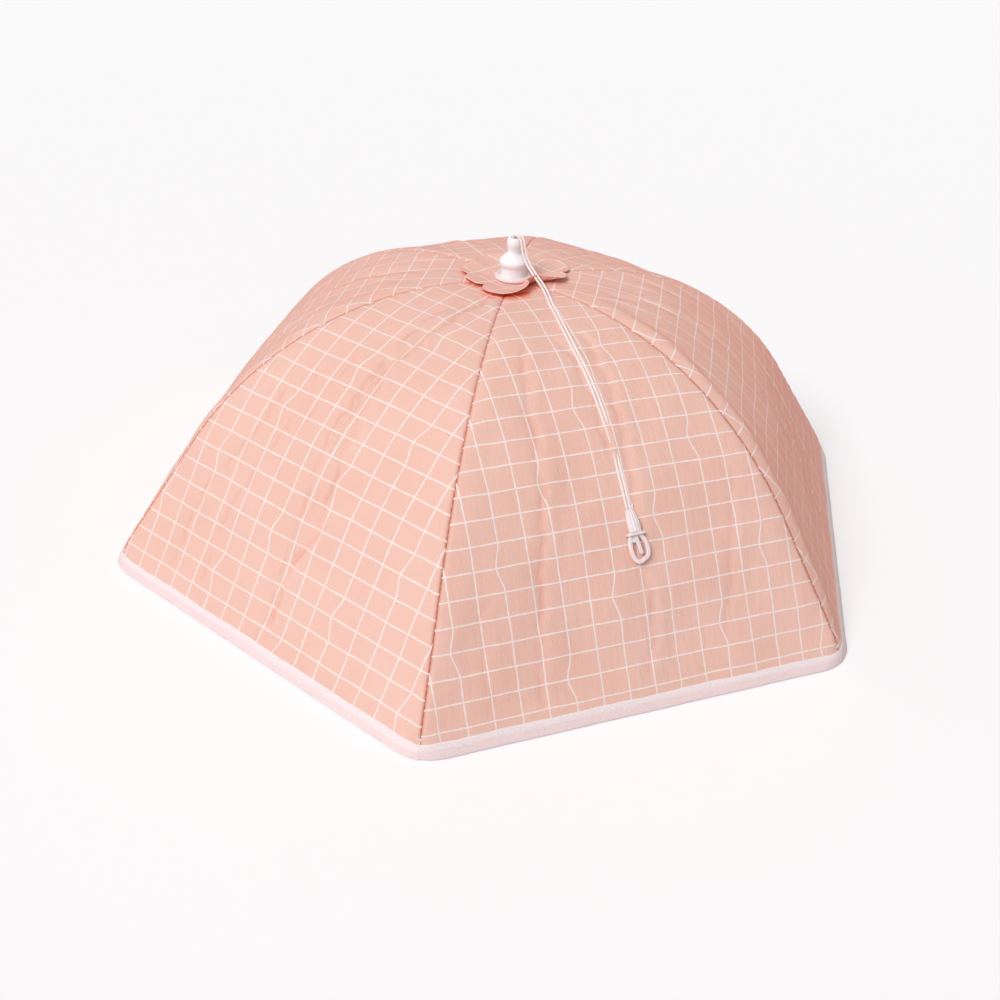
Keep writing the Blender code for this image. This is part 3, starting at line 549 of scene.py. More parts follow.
clothFinish = makeClothMaterial()
tapeFinish = makeTapeMaterial()
foilFinish = makeFoilMaterial()
plasticFinish = makeGrainFinish("mouldedWhite", (245, 243, 246), (239, 236, 240), 0.36,
                                Subsurface_Weight=0.25, Subsurface_Scale=0.004)
tabFinish = makeGrainFinish("tabWhite", (238, 226, 228), (230, 216, 219), 0.34,
                            Subsurface_Weight=0.25, Subsurface_Scale=0.003)
paleFinish = makeGrainFinish("translucentWhite", (239, 223, 224), (231, 213, 215), 0.30,
                             Subsurface_Weight=0.4, Subsurface_Scale=0.004)
framePlastic = makeGrainFinish("framePlastic", (238, 236, 232), (226, 223, 218), 0.42)
steelFinish = makeGrainFinish("zincWire", (190, 192, 196), (150, 151, 156), 0.35, scale=1500.0,
                              stretch=0.2, reach=0.15, depth=0.00005, swing=0.3, Metallic=1.0)
cordFinish = makeCordMaterial("braidedCord", linear(249, 238, 238), linear(240, 224, 224), 0.0016)
innerCordFinish = makeThreadMaterial("innerCord", (246, 236, 235), (232, 218, 216))
tunnelFinish = makeTunnelMaterial()
darkThread = makeThreadMaterial("darkThread", (178, 70, 48), (150, 50, 36))
whiteThread = makeThreadMaterial("whiteThread", (250, 243, 243), (232, 216, 216))
print("materials made")

# pull cord: two strands from the cap's mouth to the tab

pullCord = {
    "diameter": 0.0016,
    "offset": 0.0011,          # middle of the pair to the middle of a strand
    "spread": 0.0002,          # how much further apart half way along
    "turn": math.radians(32.5),
    "sides": 12,
    "pointStep": 0.007,
    "ringStep": 0.0012,
}
cordRoute = [Vector(point) for point in (
    (0.0, 0.0, 0.2177), (0.0, 0.0, 0.2192), (0.0008, -0.0005, 0.2204), (0.0026, -0.0014, 0.2208),
    (0.0045, -0.0024, 0.2200), (0.0061, -0.0033, 0.2179), (0.0069, -0.0037, 0.2148),
    (0.0077, -0.0042, 0.2110), (0.0090, -0.0049, 0.2072), (0.0107, -0.0059, 0.2040),
    (0.0128, -0.0074, 0.2010), (0.0156, -0.0098, 0.1982), (0.0190, -0.0136, 0.1959),
    (0.0228, -0.0190, 0.1940), (0.0274, -0.0272, 0.1921), (0.0334, -0.0421, 0.1895),
    (0.0417, -0.0602, 0.1867), (0.0490, -0.0755, 0.1832), (0.0573, -0.0901, 0.1777),
    (0.0663, -0.1037, 0.1702), (0.0746, -0.1171, 0.1614), (0.0820, -0.1294, 0.1515),
    (0.0888, -0.1398, 0.1407), (0.0948, -0.1501, 0.1293), (0.0994, -0.1574, 0.1196),
    (0.1036, -0.1638, 0.1101))]


def makeStrand(letter, side):
    across = Vector((math.cos(pullCord["turn"]), math.sin(pullCord["turn"]), 0)) * side
    points = curveThrough(cordRoute, pullCord["pointStep"])
    for k, point in enumerate(points):
        spread = pullCord["spread"] * math.sin(math.pi * k / (len(points) - 1))
        points[k] = point + across * (pullCord["offset"] + spread)
    line = curveThrough(points, pullCord["ringStep"])
    verts, faces, uv = tubeParts(line, pullCord["diameter"] / 2, pullCord["sides"])
    strand = meshPiece(f"pullCord{letter.upper()}", verts, faces, cordFinish, uv)
    mount(strand, f"pull_cord_{letter}", body="crown")
    return strand, line, sum((b - a).length for a, b in zip(line, line[1:]))


strands = [makeStrand(letter, side) for letter, side in (("a", -1), ("b", 1))]
print("cord strands:", [round(length, 4) for strand, line, length in strands], "m")

# shape of the dome, as in the CAD: panel k lies between ribs k and k + 1

dome = {
    "crownHeight": 0.1891,
    "shoulderRadius": 0.236,
    "rimRadius": 0.300,
    "legSlope": math.radians(54.5),
    "seatRadius": 0.016,
    "swell": 0.0024,
    "ridgeRound": 0.0062,      # rounding of a seam's ridge
    "cornerRound": 0.0330,     # the same at the blunt corners of the hem
    "cornerHeight": 0.018,
    "pinch": 0.0004,           # how deep the stitches pull a seam in
    "pinchWidth": 0.0016,
    "gap": 0.00015,
}
halfSide = math.pi / 6
halves = [(panel, side) for panel in range(1, 7) for side in (-1, 1)]


def domeArc():
    # middle of the arc in a seam's line: distance from the axis and height
    height = dome["crownHeight"] - dome["shoulderRadius"]
    legHeight = height + dome["shoulderRadius"] * math.cos(dome["legSlope"])
    legRadius = dome["rimRadius"] - legHeight / math.tan(dome["legSlope"])
    return legRadius - dome["shoulderRadius"] * math.sin(dome["legSlope"]), height


def makeProfile():
    # seam radius, height and tilt of a panel's middle, against the cloth's length there
    arcRadius, arcHeight = domeArc()
    seatSlope = math.asin((dome["seatRadius"] - arcRadius) / dome["shoulderRadius"])
    slopes = np.linspace(seatSlope, dome["legSlope"], 900)
    radius = arcRadius + dome["shoulderRadius"] * np.sin(slopes)
    height = arcHeight + dome["shoulderRadius"] * np.cos(slopes)
    radius = np.concatenate(([0.0, dome["seatRadius"] - 0.001], radius, [dome["rimRadius"]]))
    height = np.concatenate(([height[0], height[0]], height, [0.0]))
    slope = np.concatenate(([0.0, 0.0], slopes, [dome["legSlope"]]))
    length = np.hypot(np.diff(radius) * math.cos(halfSide), np.diff(height))
    return {"length": np.concatenate(([0.0], np.cumsum(length))), "radius": radius, "height": height,
            "tilt": np.arctan2(np.tan(slope), math.cos(halfSide))}


profile = makeProfile()
clothLength = profile["length"][-1]


def profileAt(down, measure):
    return np.interp(down, profile["length"], profile[measure])


def halfWidthAt(down):
    return profileAt(down, "radius") * math.sin(halfSide)


def lengthAtHeight(height):
    return float(np.interp(-height, -profile["height"][2:], profile["length"][2:]))


def fromSeam(across, down):
    return np.maximum(halfWidthAt(down) - np.abs(across), 0.0)


def panelAngle(panel):
    return -math.pi / 2 + halfSide * (2 * panel - 1)


def smoothShare(value):
    value = np.clip(value, 0.0, 1.0)
    return value * value * (3 - 2 * value)


def coverPoints(panel, across, down, depth=0.0, waves=0.0, sewn=1.0):
    # places on a panel, from flat cloth coordinates, at a depth below the outer face
    radius, height, tilt = (profileAt(down, measure) for measure in ("radius", "height", "tilt"))
    halfWidth = halfWidthAt(down)
    share = np.clip(np.abs(across) / np.maximum(halfWidth, 1e-6), 0, 1)
    edge = fromSeam(across, down)
    low = 1 - np.clip(height / dome["cornerHeight"], 0, 1)
    rounding = dome["ridgeRound"] + (dome["cornerRound"] - dome["ridgeRound"]) * low
    rounding = np.minimum(rounding, halfWidth * 0.9)
    turn = np.clip(1 - edge / (rounding * math.tan(halfSide)), 0, 1)
    pinch = sewn * dome["pinch"] * (1 - 0.6 * low) * smoothShare((radius - 0.012) / 0.02)
    drop = rounding * (1 - np.cos(turn * halfSide)) + pinch * np.exp(-(edge / dome["pinchWidth"]) ** 2)
    rise = smoothShare((radius - 0.060) / 0.090) * smoothShare((height - 0.018) / 0.060)
    proud = dome["swell"] * rise * (1 - share ** 2) + waves - drop - depth
    edgeDrop = -(rounding * (1 - math.cos(halfSide)) + pinch) - depth
    shift = edgeDrop * np.sin(tilt) * math.tan(halfSide) - dome["gap"] * sewn
    sideways = across + np.sign(across) * shift * share ** 6
    # near the table the cloth shifts sideways only, so that the hem stays level
    outward = radius * math.cos(halfSide) + proud * (np.sin(tilt) * (1 - low) + low)
    level = height + proud * np.cos(tilt) * (1 - low)
    cos, sin = math.cos(panelAngle(panel)), math.sin(panelAngle(panel))
    return np.stack((outward * cos - sideways * sin, outward * sin + sideways * cos, level), axis=-1)


def pointOn(panel, across, down, depth, waves=0.0):
    return Vector(coverPoints(panel, np.array([across]), np.array([down]), depth, waves)[0])


# outline of the scalloped patch, which also sets the painted shade on the cloth below it

patch = {
    "rings": 26, "turns": 240, "hole": 0.0056, "flat": 0.0132, "flatShare": 0.2, "thickness": 0.0006,
    "clear": 0.0009, "ripple": 0.0003, "printTurn": 0.62, "cut": (0.082, 0.078),
    # lobes and notches in turn: direction in degrees, reach and lift of the edge in mm
    "outline": ((4, 38.0, 3.0), (19, 33.0, 2.4), (36, 44.0, 1.8), (62, 33.0, 2.6), (88, 39.5, 2.0),
                (110, 31.0, 2.4), (133, 40.0, 1.8), (155, 31.0, 2.6), (175, 37.0, 2.0), (196, 27.5, 2.8),
                (213, 35.0, 3.2), (238, 27.0, 3.0), (264, 40.5, 2.6), (303, 22.0, 7.4), (319, 22.5, 8.6),
                (342, 21.0, 6.6)),
}


def patchEdge(angle):
    # reach and lift of the patch's edge in a direction, each lobe rounded towards its notches
    outline = patch["outline"]
    degrees = math.degrees(angle) % 360
    k = max((i for i, point in enumerate(outline) if point[0] <= degrees), default=len(outline) - 1)
    lobe, notch = outline[k], outline[(k + 1) % len(outline)]
    fromNotch = 1 - ((degrees - lobe[0]) % 360) / ((notch[0] - lobe[0]) % 360)
    if k % 2:
        lobe, notch, fromNotch = notch, lobe, 1 - fromNotch
    reach = notch[1] + (lobe[1] - notch[1]) * math.sqrt(1 - (1 - fromNotch) ** 2.4)
    return reach / 1000, (notch[2] + (lobe[2] - notch[2]) * smoothShare(fromNotch)) / 1000


# outer cloth: each panel is two halves that meet at its middle

panels = {
    "rows": 170, "columns": 44, "thickness": 0.0006, "topLength": 0.0062, "footHeight": 0.0010,
    "edgeSteps": (0, 0.0005, 0.001, 0.0016, 0.0024, 0.0034, 0.0046, 0.006, 0.008),
    "blendReach": 0.135,
    "cut": (0.150, 0.340),
    # where the check starts on each panel, and how far it leans
    "print": {1: (0.0095, 0.3300, 0.0), 2: (0.0018, 0.1218, 0.0), 3: (-0.0040, 0.3120, 0.0),
              4: (0.0070, 0.3260, 0.0), 5: (-0.0020, 0.3190, 0.0), 6: (0.0055, 0.3245, 0.022)},
    # soft roll of cloth along a seam: how proud, how far from the seam and how wide, in mm
    "rolls": {(2, -1): (2.3, 11.0, 8.0), (1, 1): (0.5, 10.0, 8.0), (6, -1): (0.7, 12.0, 9.0),
              (6, 1): (0.3, 10.0, 7.0)},
    "plainRoll": (0.6, 11.0, 8.0),
    # storage creases: depth in mm, width in mm, and the line they follow as (down, across) in mm
    "creases": {
        1: ((0.9, 4.0, ((85, -28), (140, -40), (190, -45), (250, -56), (290, -62), (335, -67))),
            (0.8, 3.6, ((80, 15), (130, 18), (200, 14), (258, 11), (283, 16), (330, 5))),
            (0.6, 3.4, ((200, 87), (250, 76), (280, 71), (312, 63))),
            (0.5, 3.4, ((250, -88), (270, -98), (335, -99))),
            (0.6, 3.0, ((85, -5), (110, 1), (150, 4), (190, 1)))),
        2: ((0.9, 4.0, ((60, -10), (120, 2), (200, 8), (330, 4))),
            (0.7, 3.6, ((80, 30), (160, 44), (240, 52), (330, 50)))),
        3: ((0.9, 4.0, ((60, 4), (140, -4), (230, 2), (330, 6))),
            (0.6, 3.4, ((120, -40), (230, -62), (330, -70)))),
        4: ((0.9, 4.0, ((60, -4), (140, 6), (230, 2), (330, -6))),
            (0.6, 3.4, ((120, 42), (230, 60), (330, 74)))),
        5: ((0.9, 4.0, ((60, 2), (140, -6), (230, -4), (330, 6))),
            (0.6, 3.4, ((120, 36), (230, 56), (330, 60)))),
        6: ((1.9, 5.0, ((30, 11), (75, 12), (100, 9), (135, 4), (180, 9), (235, 17), (260, 17), (285, 4),
                        (330, 2))),
            (0.8, 3.2, ((60, 1), (110, -3), (150, -2), (200, -4), (260, 3), (330, 10))),
            (0.7, 3.4, ((150, -63), (190, -59), (225, -69), (250, -85), (290, -92), (330, -96))),
            (0.6, 3.2, ((150, -44), (190, -38), (240, -52), (275, -62), (330, -64))),
            (0.5, 3.2, ((110, -20), (150, -24), (190, -30), (240, -30)))),
    },
}


def creaseLines(panel, across, down):
    # signed distance to the nearest crease and its strength, and the shallow valley that it makes
    gap = np.full(across.shape, 0.5)
    strength = np.zeros(across.shape)
    valley = np.zeros(across.shape)
    for depth, width, line in panels["creases"][panel]:
        line = np.array(line) / 1000
        ends = smoothShare((down - line[0, 0]) / 0.02) * smoothShare((line[-1, 0] - down) / 0.015)
        wander = 0.0012 * np.sin(down * 190 + depth * 9) + 0.0007 * np.sin(down * 431 + width)
        away = across - np.interp(down, line[:, 0], line[:, 1]) - wander
        nearer = np.abs(away) < np.abs(gap)
        gap = np.where(nearer, away, gap)
        strength = np.where(nearer, ends * min(1.0, depth) * np.exp(-(away / 0.009) ** 2), strength)
        spread = away / (width / 1000)
        valley += ends * depth / 1000 * (0.45 * np.exp(-((spread - 1.5) / 1.2) ** 2) - np.exp(-spread ** 2))
    return gap, strength, valley


def clothWaves(panel, across, down):
    # slow unevenness of quilted cloth, with small puckers and a soft roll beside the seams
    edge = fromSeam(across, down)
    inner = smoothShare(edge / 0.020) * smoothShare((clothLength - down) / 0.03) * smoothShare(down / 0.06)
    slow = sum(size * np.sin(across * sideways + down * along + panel * start)
               for size, sideways, along, start in ((0.40, 63, 21, 1.7), (0.32, 104, -47, 2.9),
                                                    (0.22, 33, 117, 0.6), (0.14, 171, 88, 4.1)))
    pucker = 0.20 * np.sin(down * 610 + panel + np.sin(down * 173) * 1.4)
    pucker *= np.exp(-((edge - 0.004) / 0.004) ** 2) * smoothShare(edge / 0.0016)
    roll = np.zeros(across.shape)
    for side in (-1, 1):
        proud, away, width = panels["rolls"].get((panel, side), panels["plainRoll"])
        roll += np.where(across * side > 0, proud * np.exp(-((edge * 1000 - away) / width) ** 2), 0)
    roll *= smoothShare(edge / 0.007) * smoothShare((down - 0.055) / 0.05)
    roll *= smoothShare((clothLength - 0.012 - down) / 0.045)
    return (slow * inner + pucker * smoothShare((down - 0.03) / 0.03) + roll) / 1000


def panelSheet(sheet, panel, side):
    # flat coordinates of half a panel, closer together near the seam, with its creases and waves
    down = np.linspace(sheet["topLength"], lengthAtHeight(sheet["footHeight"]), sheet["rows"])
    grid = []
    for width in halfWidthAt(down):
        near = width - np.array(sheet["edgeSteps"]) * min(1.0, width / 0.03)
        grid.append(np.concatenate((near, np.linspace(near[-1], 0, sheet["columns"] + 1)[1:])))
    across = np.array(grid) * side
    down = np.repeat(down[:, None], across.shape[1], axis=1)
    gap, strength, valley = creaseLines(panel, across, down)
    inner = smoothShare((profileAt(down, "radius") - 0.02) / 0.03)
    return across, down, clothWaves(panel, across, down) + valley * inner, gap, strength


def gridFaces(rows, columns, flip):
    starts = [r * columns + c for r in range(rows - 1) for c in range(columns - 1)]
    quads = [(a, a + columns, a + columns + 1, a + 1) for a in starts]
    return quads if flip else [quad[::-1] for quad in quads]


def halfName(name, panel, side):
    return f"{name}{panel}{'Right' if side > 0 else 'Left'}"


def ribOf(panel, side):
    return panel % 6 + 1 if side > 0 else panel


def followRib(piece, panel, side):
    angle = panelAngle(panel)
    tangent = Vector((-math.sin(angle), math.cos(angle), 0)) * side
    f"rib_{ribOf(panel, side)}"
    tangent * panels["blendReach"]
    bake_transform(piece)


def patchShade(places):
    # the higher the patch's edge, the further its painted shade runs out from below it, and only on the side
    # towards the front
    angles = np.arctan2(places[..., 1], places[..., 0])
    reaches, lifts = np.array([patchEdge(angle) for angle in angles.ravel()]).T.reshape(2, *angles.shape)
    spread = lifts * 1.3 + 0.001
    below = smoothShare((reaches + spread - np.hypot(places[..., 0], places[..., 1])) / (spread + 0.003))
    return below * smoothShare(0.5 - 0.9 * np.sin(angles + 0.35))


def makeOuterHalf(panel, side):
    across, down, waves, gap, strength = panelSheet(panels, panel, side)
    places = coverPoints(panel, across, down, 0.0, waves)
    startAcross, startDown, lean = panels["print"][panel]
    uv = np.stack((across - startAcross + lean * (down - 0.2), down - startDown), axis=-1)
    piece = meshPiece(halfName("clothPanel", panel, side), places.reshape(-1, 3),
                      gridFaces(*across.shape, side > 0), clothFinish, uv.reshape(-1, 2), smooth=None)
    # each point carries a painted shade below the patch's edge and a painted shade along the seam's groove
    for label, values in (("creaseGap", gap), ("creaseDepth", strength), ("patchShade", patchShade(places)),
                          ("seamShade", np.exp(-(fromSeam(across, down) / 0.0009) ** 2))):
        attribute = piece.data.attributes.new(label, "FLOAT", "POINT")
        attribute.data.foreach_set("value", values.astype(np.float32).ravel())
    thicken(piece, panels["thickness"])
    followRib(piece, panel, side)
    return mount(piece, f"outer_panel_{panel}")


clothHalves = {half: makeOuterHalf(*half) for half in halves}
print("outer cloth made")

# insulating lining, foil on thin wadding

lining = {"rows": 96, "columns": 26, "depth": 0.0009, "thickness": 0.0018, "topLength": 0.0062,
          "footHeight": 0.0016, "edgeSteps": (0, 0.001, 0.0022, 0.004, 0.0065),
          "quilt": 0.00035, "quiltPitch": 215, "pressed": 0.0008}


def makeLiningHalf(panel, side):
    across, down, waves, gap, strength = panelSheet(lining, panel, side)
    # the inner face is quilted a little, and the sheet is thinner where the seam's stitches press it
    edge = fromSeam(across, down)
    quilt = lining["quilt"] * np.sin(across * lining["quiltPitch"]) * np.sin(down * lining["quiltPitch"])
    quilt *= smoothShare(edge / 0.01) * smoothShare((down - 0.05) / 0.03)
    thick = lining["thickness"] - lining["pressed"] * np.exp(-(edge / 0.004) ** 2) + quilt
    places = [coverPoints(panel, across, down, depth, waves)
              for depth in (lining["depth"], lining["depth"] + thick)]
    rows, columns = across.shape
    count = rows * columns
    faces = gridFaces(rows, columns, side > 0)
    faces += [tuple(k + count for k in face) for face in gridFaces(rows, columns, side < 0)]
    rim = ([(0, c) for c in range(columns)] + [(r, columns - 1) for r in range(1, rows)]
           + [(rows - 1, c) for c in range(columns - 2, -1, -1)] + [(r, 0) for r in range(rows - 2, 0, -1)])
    rim = [r * columns + c for r, c in rim]
    for a, b in zip(rim, rim[1:] + rim[:1]):
        faces.append((a, b, b + count, a + count) if side > 0 else (b, a, a + count, b + count))
    uv = np.stack((across, down), axis=-1).reshape(-1, 2)
    piece = meshPiece(halfName("liningPanel", panel, side), np.concatenate(places).reshape(-1, 3), faces,
                      foilFinish, np.concatenate((uv, uv)))
    followRib(piece, panel, side)
    return mount(piece, f"insulating_lining_{panel}")


liningHalves = {half: makeLiningHalf(*half) for half in halves}
print("lining made")

# binding tape folded over the hem

binding = {
    "thickness": 0.0004, "columns": 60, "low": 0.0002, "ripple": (0.00022, 0.00012), "cut": (0.150, 0.021),
    # section of the folded tape in mm: height above the table and depth below the cloth's face
    "outer": ((9.0, -0.2), (8.8, -0.4)), "face": (7.5, 6.0, 4.5, 3.0, 1.8), "faceDepth": -0.4,
    "fold": ((0.9, -0.3), (0.4, 0.4), (0.3, 1.3), (0.4, 2.2), (1.0, 2.8)),
    "inner": ((2.0, 3.1), (4.0, 3.1), (6.0, 3.1), (8.0, 3.1), (8.8, 3.1)),
}


def tapeWaves(panel, across, down):
    # the tape follows the cloth's own waves, so that no fold comes through it
    return clothWaves(panel, across, down) + creaseLines(panel, across, down)[2]


def makeTapeHalf(panel, side):
    face = [(h, binding["faceDepth"] - 0.12 * math.sin(h / 9 * math.pi)) for h in binding["face"]]
    section = [millimetres(point) for point in (*binding["outer"], *face, *binding["fold"], *binding["inner"])]
    columns = binding["columns"]
    verts, uv = [], []
    travelled = 0.0
    for height, depth in section:
        down = lengthAtHeight(height)
        across = halfWidthAt(down) * (1 - np.linspace(0, 1, columns) ** 1.35) * side
        slow, quick = binding["ripple"]
        ripple = slow * np.sin(across * 96 + panel) + quick * np.sin(across * 311 + panel * 2)
        lengths = np.full(columns, down) + np.where(height > 0.005, ripple * 1.6, 0.0)
        waves = tapeWaves(panel, across, lengths) + ripple * 0.5
        points = coverPoints(panel, across, lengths, depth, waves, sewn=0.0)
        points[:, 2] = np.maximum(points[:, 2], binding["low"])
        if verts:
            travelled += float(np.linalg.norm(points[columns // 2] - verts[columns // 2 - columns]))
        verts.extend(points)
        uv.extend((a, travelled) for a in across)
    piece = meshPiece(halfName("hemTape", panel, side), verts, gridFaces(len(section), columns, side > 0),
                      tapeFinish, uv, smooth=None)
    thicken(piece, binding["thickness"], 50)
    followRib(piece, panel, side)
    return mount(piece, f"hem_binding_{panel}")


tapeHalves = {half: makeTapeHalf(*half) for half in halves}
print("hem tape made")

# scalloped cloth patch under the cap


def coverHeight(radius, angle):
    off = (angle % (2 * halfSide)) - halfSide
    seamRadius = radius * math.cos(off) / math.cos(halfSide)
    return float(profileAt(np.interp(seamRadius, profile["radius"], profile["length"]), "height"))


def makePatch():
    verts, uv = [], []
    hole, flat = patch["hole"], patch["flat"]
    for share in (ring / patch["rings"] for ring in range(patch["rings"] + 1)):
        inner = min(share / patch["flatShare"], 1)
        out = max((share - patch["flatShare"]) / (1 - patch["flatShare"]), 0)
        for angle in (2 * math.pi * k / patch["turns"] for k in range(patch["turns"])):
            reach, lift = patchEdge(angle)
            radius = hole + (flat - hole) * inner + (reach - flat) * out
            ripple = patch["ripple"] * math.sin(angle * 7 + 1.0) * out
            height = coverHeight(radius, angle) + patch["clear"] + lift * out ** 1.7 + ripple
            verts.append((radius * math.cos(angle), radius * math.sin(angle), height))
            printAngle = angle + patch["printTurn"]
            uv.append((radius * math.cos(printAngle) + 0.004, radius * math.sin(printAngle) + 0.003))
    piece = meshPiece("petalPatch", verts, ringFaces(patch["rings"] + 1, patch["turns"], flip=True),
                      clothFinish, uv, smooth=None)
    thicken(piece, patch["thickness"])
    return mount(piece, "petal_patch", body="crown")


petalPatch = makePatch()
print("petal patch made")

# cord nozzle on top: flange, body, and the spigot that grips the hub

nozzle = {
    "sides": 56,
    # radius, height and rounding of the corners, in mm
    "flange": ((5.4, 188.70, 0.0), (12.1, 188.70, 0.35), (12.9, 189.35, 0.45), (12.9, 190.60, 0.6),
               (12.0, 191.55, 0.6), (11.1, 191.25, 0.4), (10.3, 190.45, 0.3), (9.6, 190.45, 0.3),
               (9.1, 190.95, 0.2), (5.4, 190.95, 0.0)),
    "body": ((2.4, 178.80, 0.0), (5.0, 178.80, 0.3), (5.0, 190.40, 0.0), (8.95, 190.88, 0.0),
             (8.80, 191.90, 0.4), (8.60, 197.20, 1.0), (9.90, 199.00, 0.8), (10.15, 201.10, 0.5),
             (9.80, 202.25, 0.25), (9.45, 202.15, 0.1), (9.20, 202.80, 0.4), (7.50, 205.00, 1.2),
             (5.05, 206.90, 1.2), (4.45, 209.60, 1.2), (4.75, 211.60, 0.8), (5.30, 213.40, 0.8),
             (5.30, 215.60, 1.0), (4.60, 217.90, 0.9), (3.40, 218.65, 0.5), (2.40, 218.40, 0.5)),
}


def softOutline(corners, steps=4):
    points = []
    for k, (x, y, reach) in enumerate(corners):
        here = Vector((x, y))
        if not reach:
            points.append(here)
            continue
        start = here + (Vector(corners[k - 1][:2]) - here).normalized() * reach
        end = here + (Vector(corners[(k + 1) % len(corners)][:2]) - here).normalized() * reach
        for t in (j / steps for j in range(steps + 1)):
            points.append(start * (1 - t) ** 2 + here * 2 * t * (1 - t) + end * t * t)
    return points


def makeNozzlePart(part, finish):
    # a circle at the first point of the outline, extruded and resized from point to point
    outline = softOutline([millimetres(corner) for corner in nozzle[part]])
    radius, height = outline[0]
    bpy.ops.mesh.primitive_circle_add(vertices=nozzle["sides"], radius=radius, location=(0, 0, height))
    piece = startEdit("nozzle" + part.capitalize())
    for nextRadius, nextHeight in outline[1:] + outline[:1]:
        pull(0, 0, nextHeight - height)
        share = nextRadius / radius
        bpy.ops.transform.resize(value=(share, share, 1), center_override=(0, 0, nextHeight))
        radius, height = nextRadius, nextHeight
    endEdit(piece, finish)
    mount(piece, "top_cap", body="crown")


makeNozzlePart("flange", paleFinish)
makeNozzlePart("body", plasticFinish)
print("nozzle made")

# pull tab: sleeve over the cord's ends, cross bar, and a loop with a tongue in it

tab = {
    "foot": -0.0008,            # underside, below the cord's middle
    "turn": math.radians(30),
    # sleeve: distance along, width, thickness, middle to the side, in mm
    "rings": ((0.30, 4.3, 2.7, 0.00), (0.9, 4.7, 3.0, 0.00), (3.2, 6.3, 3.8, 0.10), (7.5, 7.9, 4.5, 0.25),
              (11.2, 8.3, 4.9, 0.35), (13.6, 7.9, 4.9, 0.40), (15.4, 7.6, 4.9, 0.40)),
    "ribs": 24, "ribDepth": 0.00028, "ribFloor": 0.0008, "ribLength": 0.0149,
    "tail": (0.0026, -0.0014, 0.0004), "tailRadius": 0.0006,
    # how the tail goes on: length, lean and size of each step
    "tailSteps": ((0.0012, 0.0001, 0.92), (0.0012, 0.0004, 0.86), (0.0009, 0.0005, 0.6)),
    "barMiddle": (0.0004, -0.0161), "barSize": (0.0088, 0.0017, 0.0044),
    # nubs on the bar's ends: length, height and thickness against what they grow from
    "nubs": ((0.0006, 1.35, 0.82), (0.0011, 0.95, 0.9)),
    # middle of each band, in mm from the tab's place
    "loop": ((-2.5, -16.3), (-4.0, -19.4), (-4.7, -23.4), (-4.5, -28.0), (-3.5, -31.4), (-1.9, -33.2),
             (-0.1, -33.6), (1.5, -32.9), (3.0, -32.3), (4.7, -31.6), (6.1, -29.6), (6.6, -26.0),
             (6.0, -22.0), (4.6, -18.8), (3.2, -16.3)),
    "tongue": ((0.4, -16.5), (0.6, -20.0), (1.1, -24.0), (1.5, -27.6), (1.7, -29.3)),
    "web": ((-0.4, -16.4), (-0.6, -18.8), (-0.7, -21.4)),  # joins loop and tongue below the bar
    "bandWidth": {"loop": 0.0028, "tongue": 0.0027, "web": 0.0054},
    "bandThickness": {"loop": 0.0022, "tongue": 0.00198, "web": 0.00165},
    "bandMiddle": {"loop": 0.0015, "tongue": 0.0017, "web": 0.0015},
}


def tabPlace():
    # the tab's own axes: cord direction down, across, and out of the cloth
    down = (cordRoute[-1] - cordRoute[-2]).normalized()
    out = down.cross(Vector((math.cos(tab["turn"]), math.sin(tab["turn"]), 0))).normalized()
    if out.z < 0:
        out = -out
    across = (-down).cross(out).normalized()
    return Matrix.Translation(cordRoute[-1]) @ Matrix((across, -down, out)).transposed().to_4x4()


def placeOnTab(piece, lift=0.0):
    piece.data.transform(tabPlace() @ Matrix.Translation((0, 0, lift)))
    return mount(piece, "pull_tab", body="crown")


def makeTabSleeve():
    # a circle pulled into ovals, from the cord's end down to the bar, with ribs pressed along it
    rings = [millimetres(ring) for ring in tab["rings"]]
    along, width, thickness, side = rings[0]
    bpy.ops.mesh.primitive_circle_add(vertices=24, radius=0.5, location=(0, 0, 0),
                                      rotation=(math.pi / 2, 0, 0), fill_type="NGON")
    piece = startEdit("tabSleeve")
    middle = tab["foot"] + thickness / 2
    bpy.ops.transform.resize(value=(width, 1, thickness), center_override=(0, 0, 0))
    bpy.ops.transform.translate(value=(side, -along, middle))
    for nextAlong, nextWidth, nextThickness, nextSide in rings[1:]:
        pull(0, along - nextAlong, 0)
        bpy.ops.transform.resize(value=(nextWidth / width, 1, nextThickness / thickness),
                                 center_override=(side, -nextAlong, middle))
        lift = (nextThickness - thickness) / 2
        bpy.ops.transform.translate(value=(nextSide - side, 0, lift))
        along, width, thickness, side = nextAlong, nextWidth, nextThickness, nextSide
        middle += lift
    bpy.ops.mesh.select_all(action="SELECT")
    bpy.ops.mesh.normals_make_consistent(inside=False)

    def alternate(place, part):
        if abs(part.normal.y) > 0.8 or place.z < tab["foot"] + tab["ribFloor"]:
            return False
        high = tab["foot"] + 0.00135 + 0.0011 * min(-place.y / tab["ribLength"] * 1.4, 1.0)
        turn = math.atan2((place.z - high) * 1.5, place.x - 0.0002)
        return int((turn / (2 * math.pi)) * tab["ribs"] // 1) % 2 == 0

    pick(piece, "FACE", alternate)
    bpy.ops.mesh.inset(thickness=0.00014, depth=tab["ribDepth"], use_boundary=True)
    endEdit(piece, tabFinish)
    applyModifier(piece, "SUBSURF", levels=2, render_levels=2)
    shadeSmooth(piece, 60)
    return placeOnTab(piece)


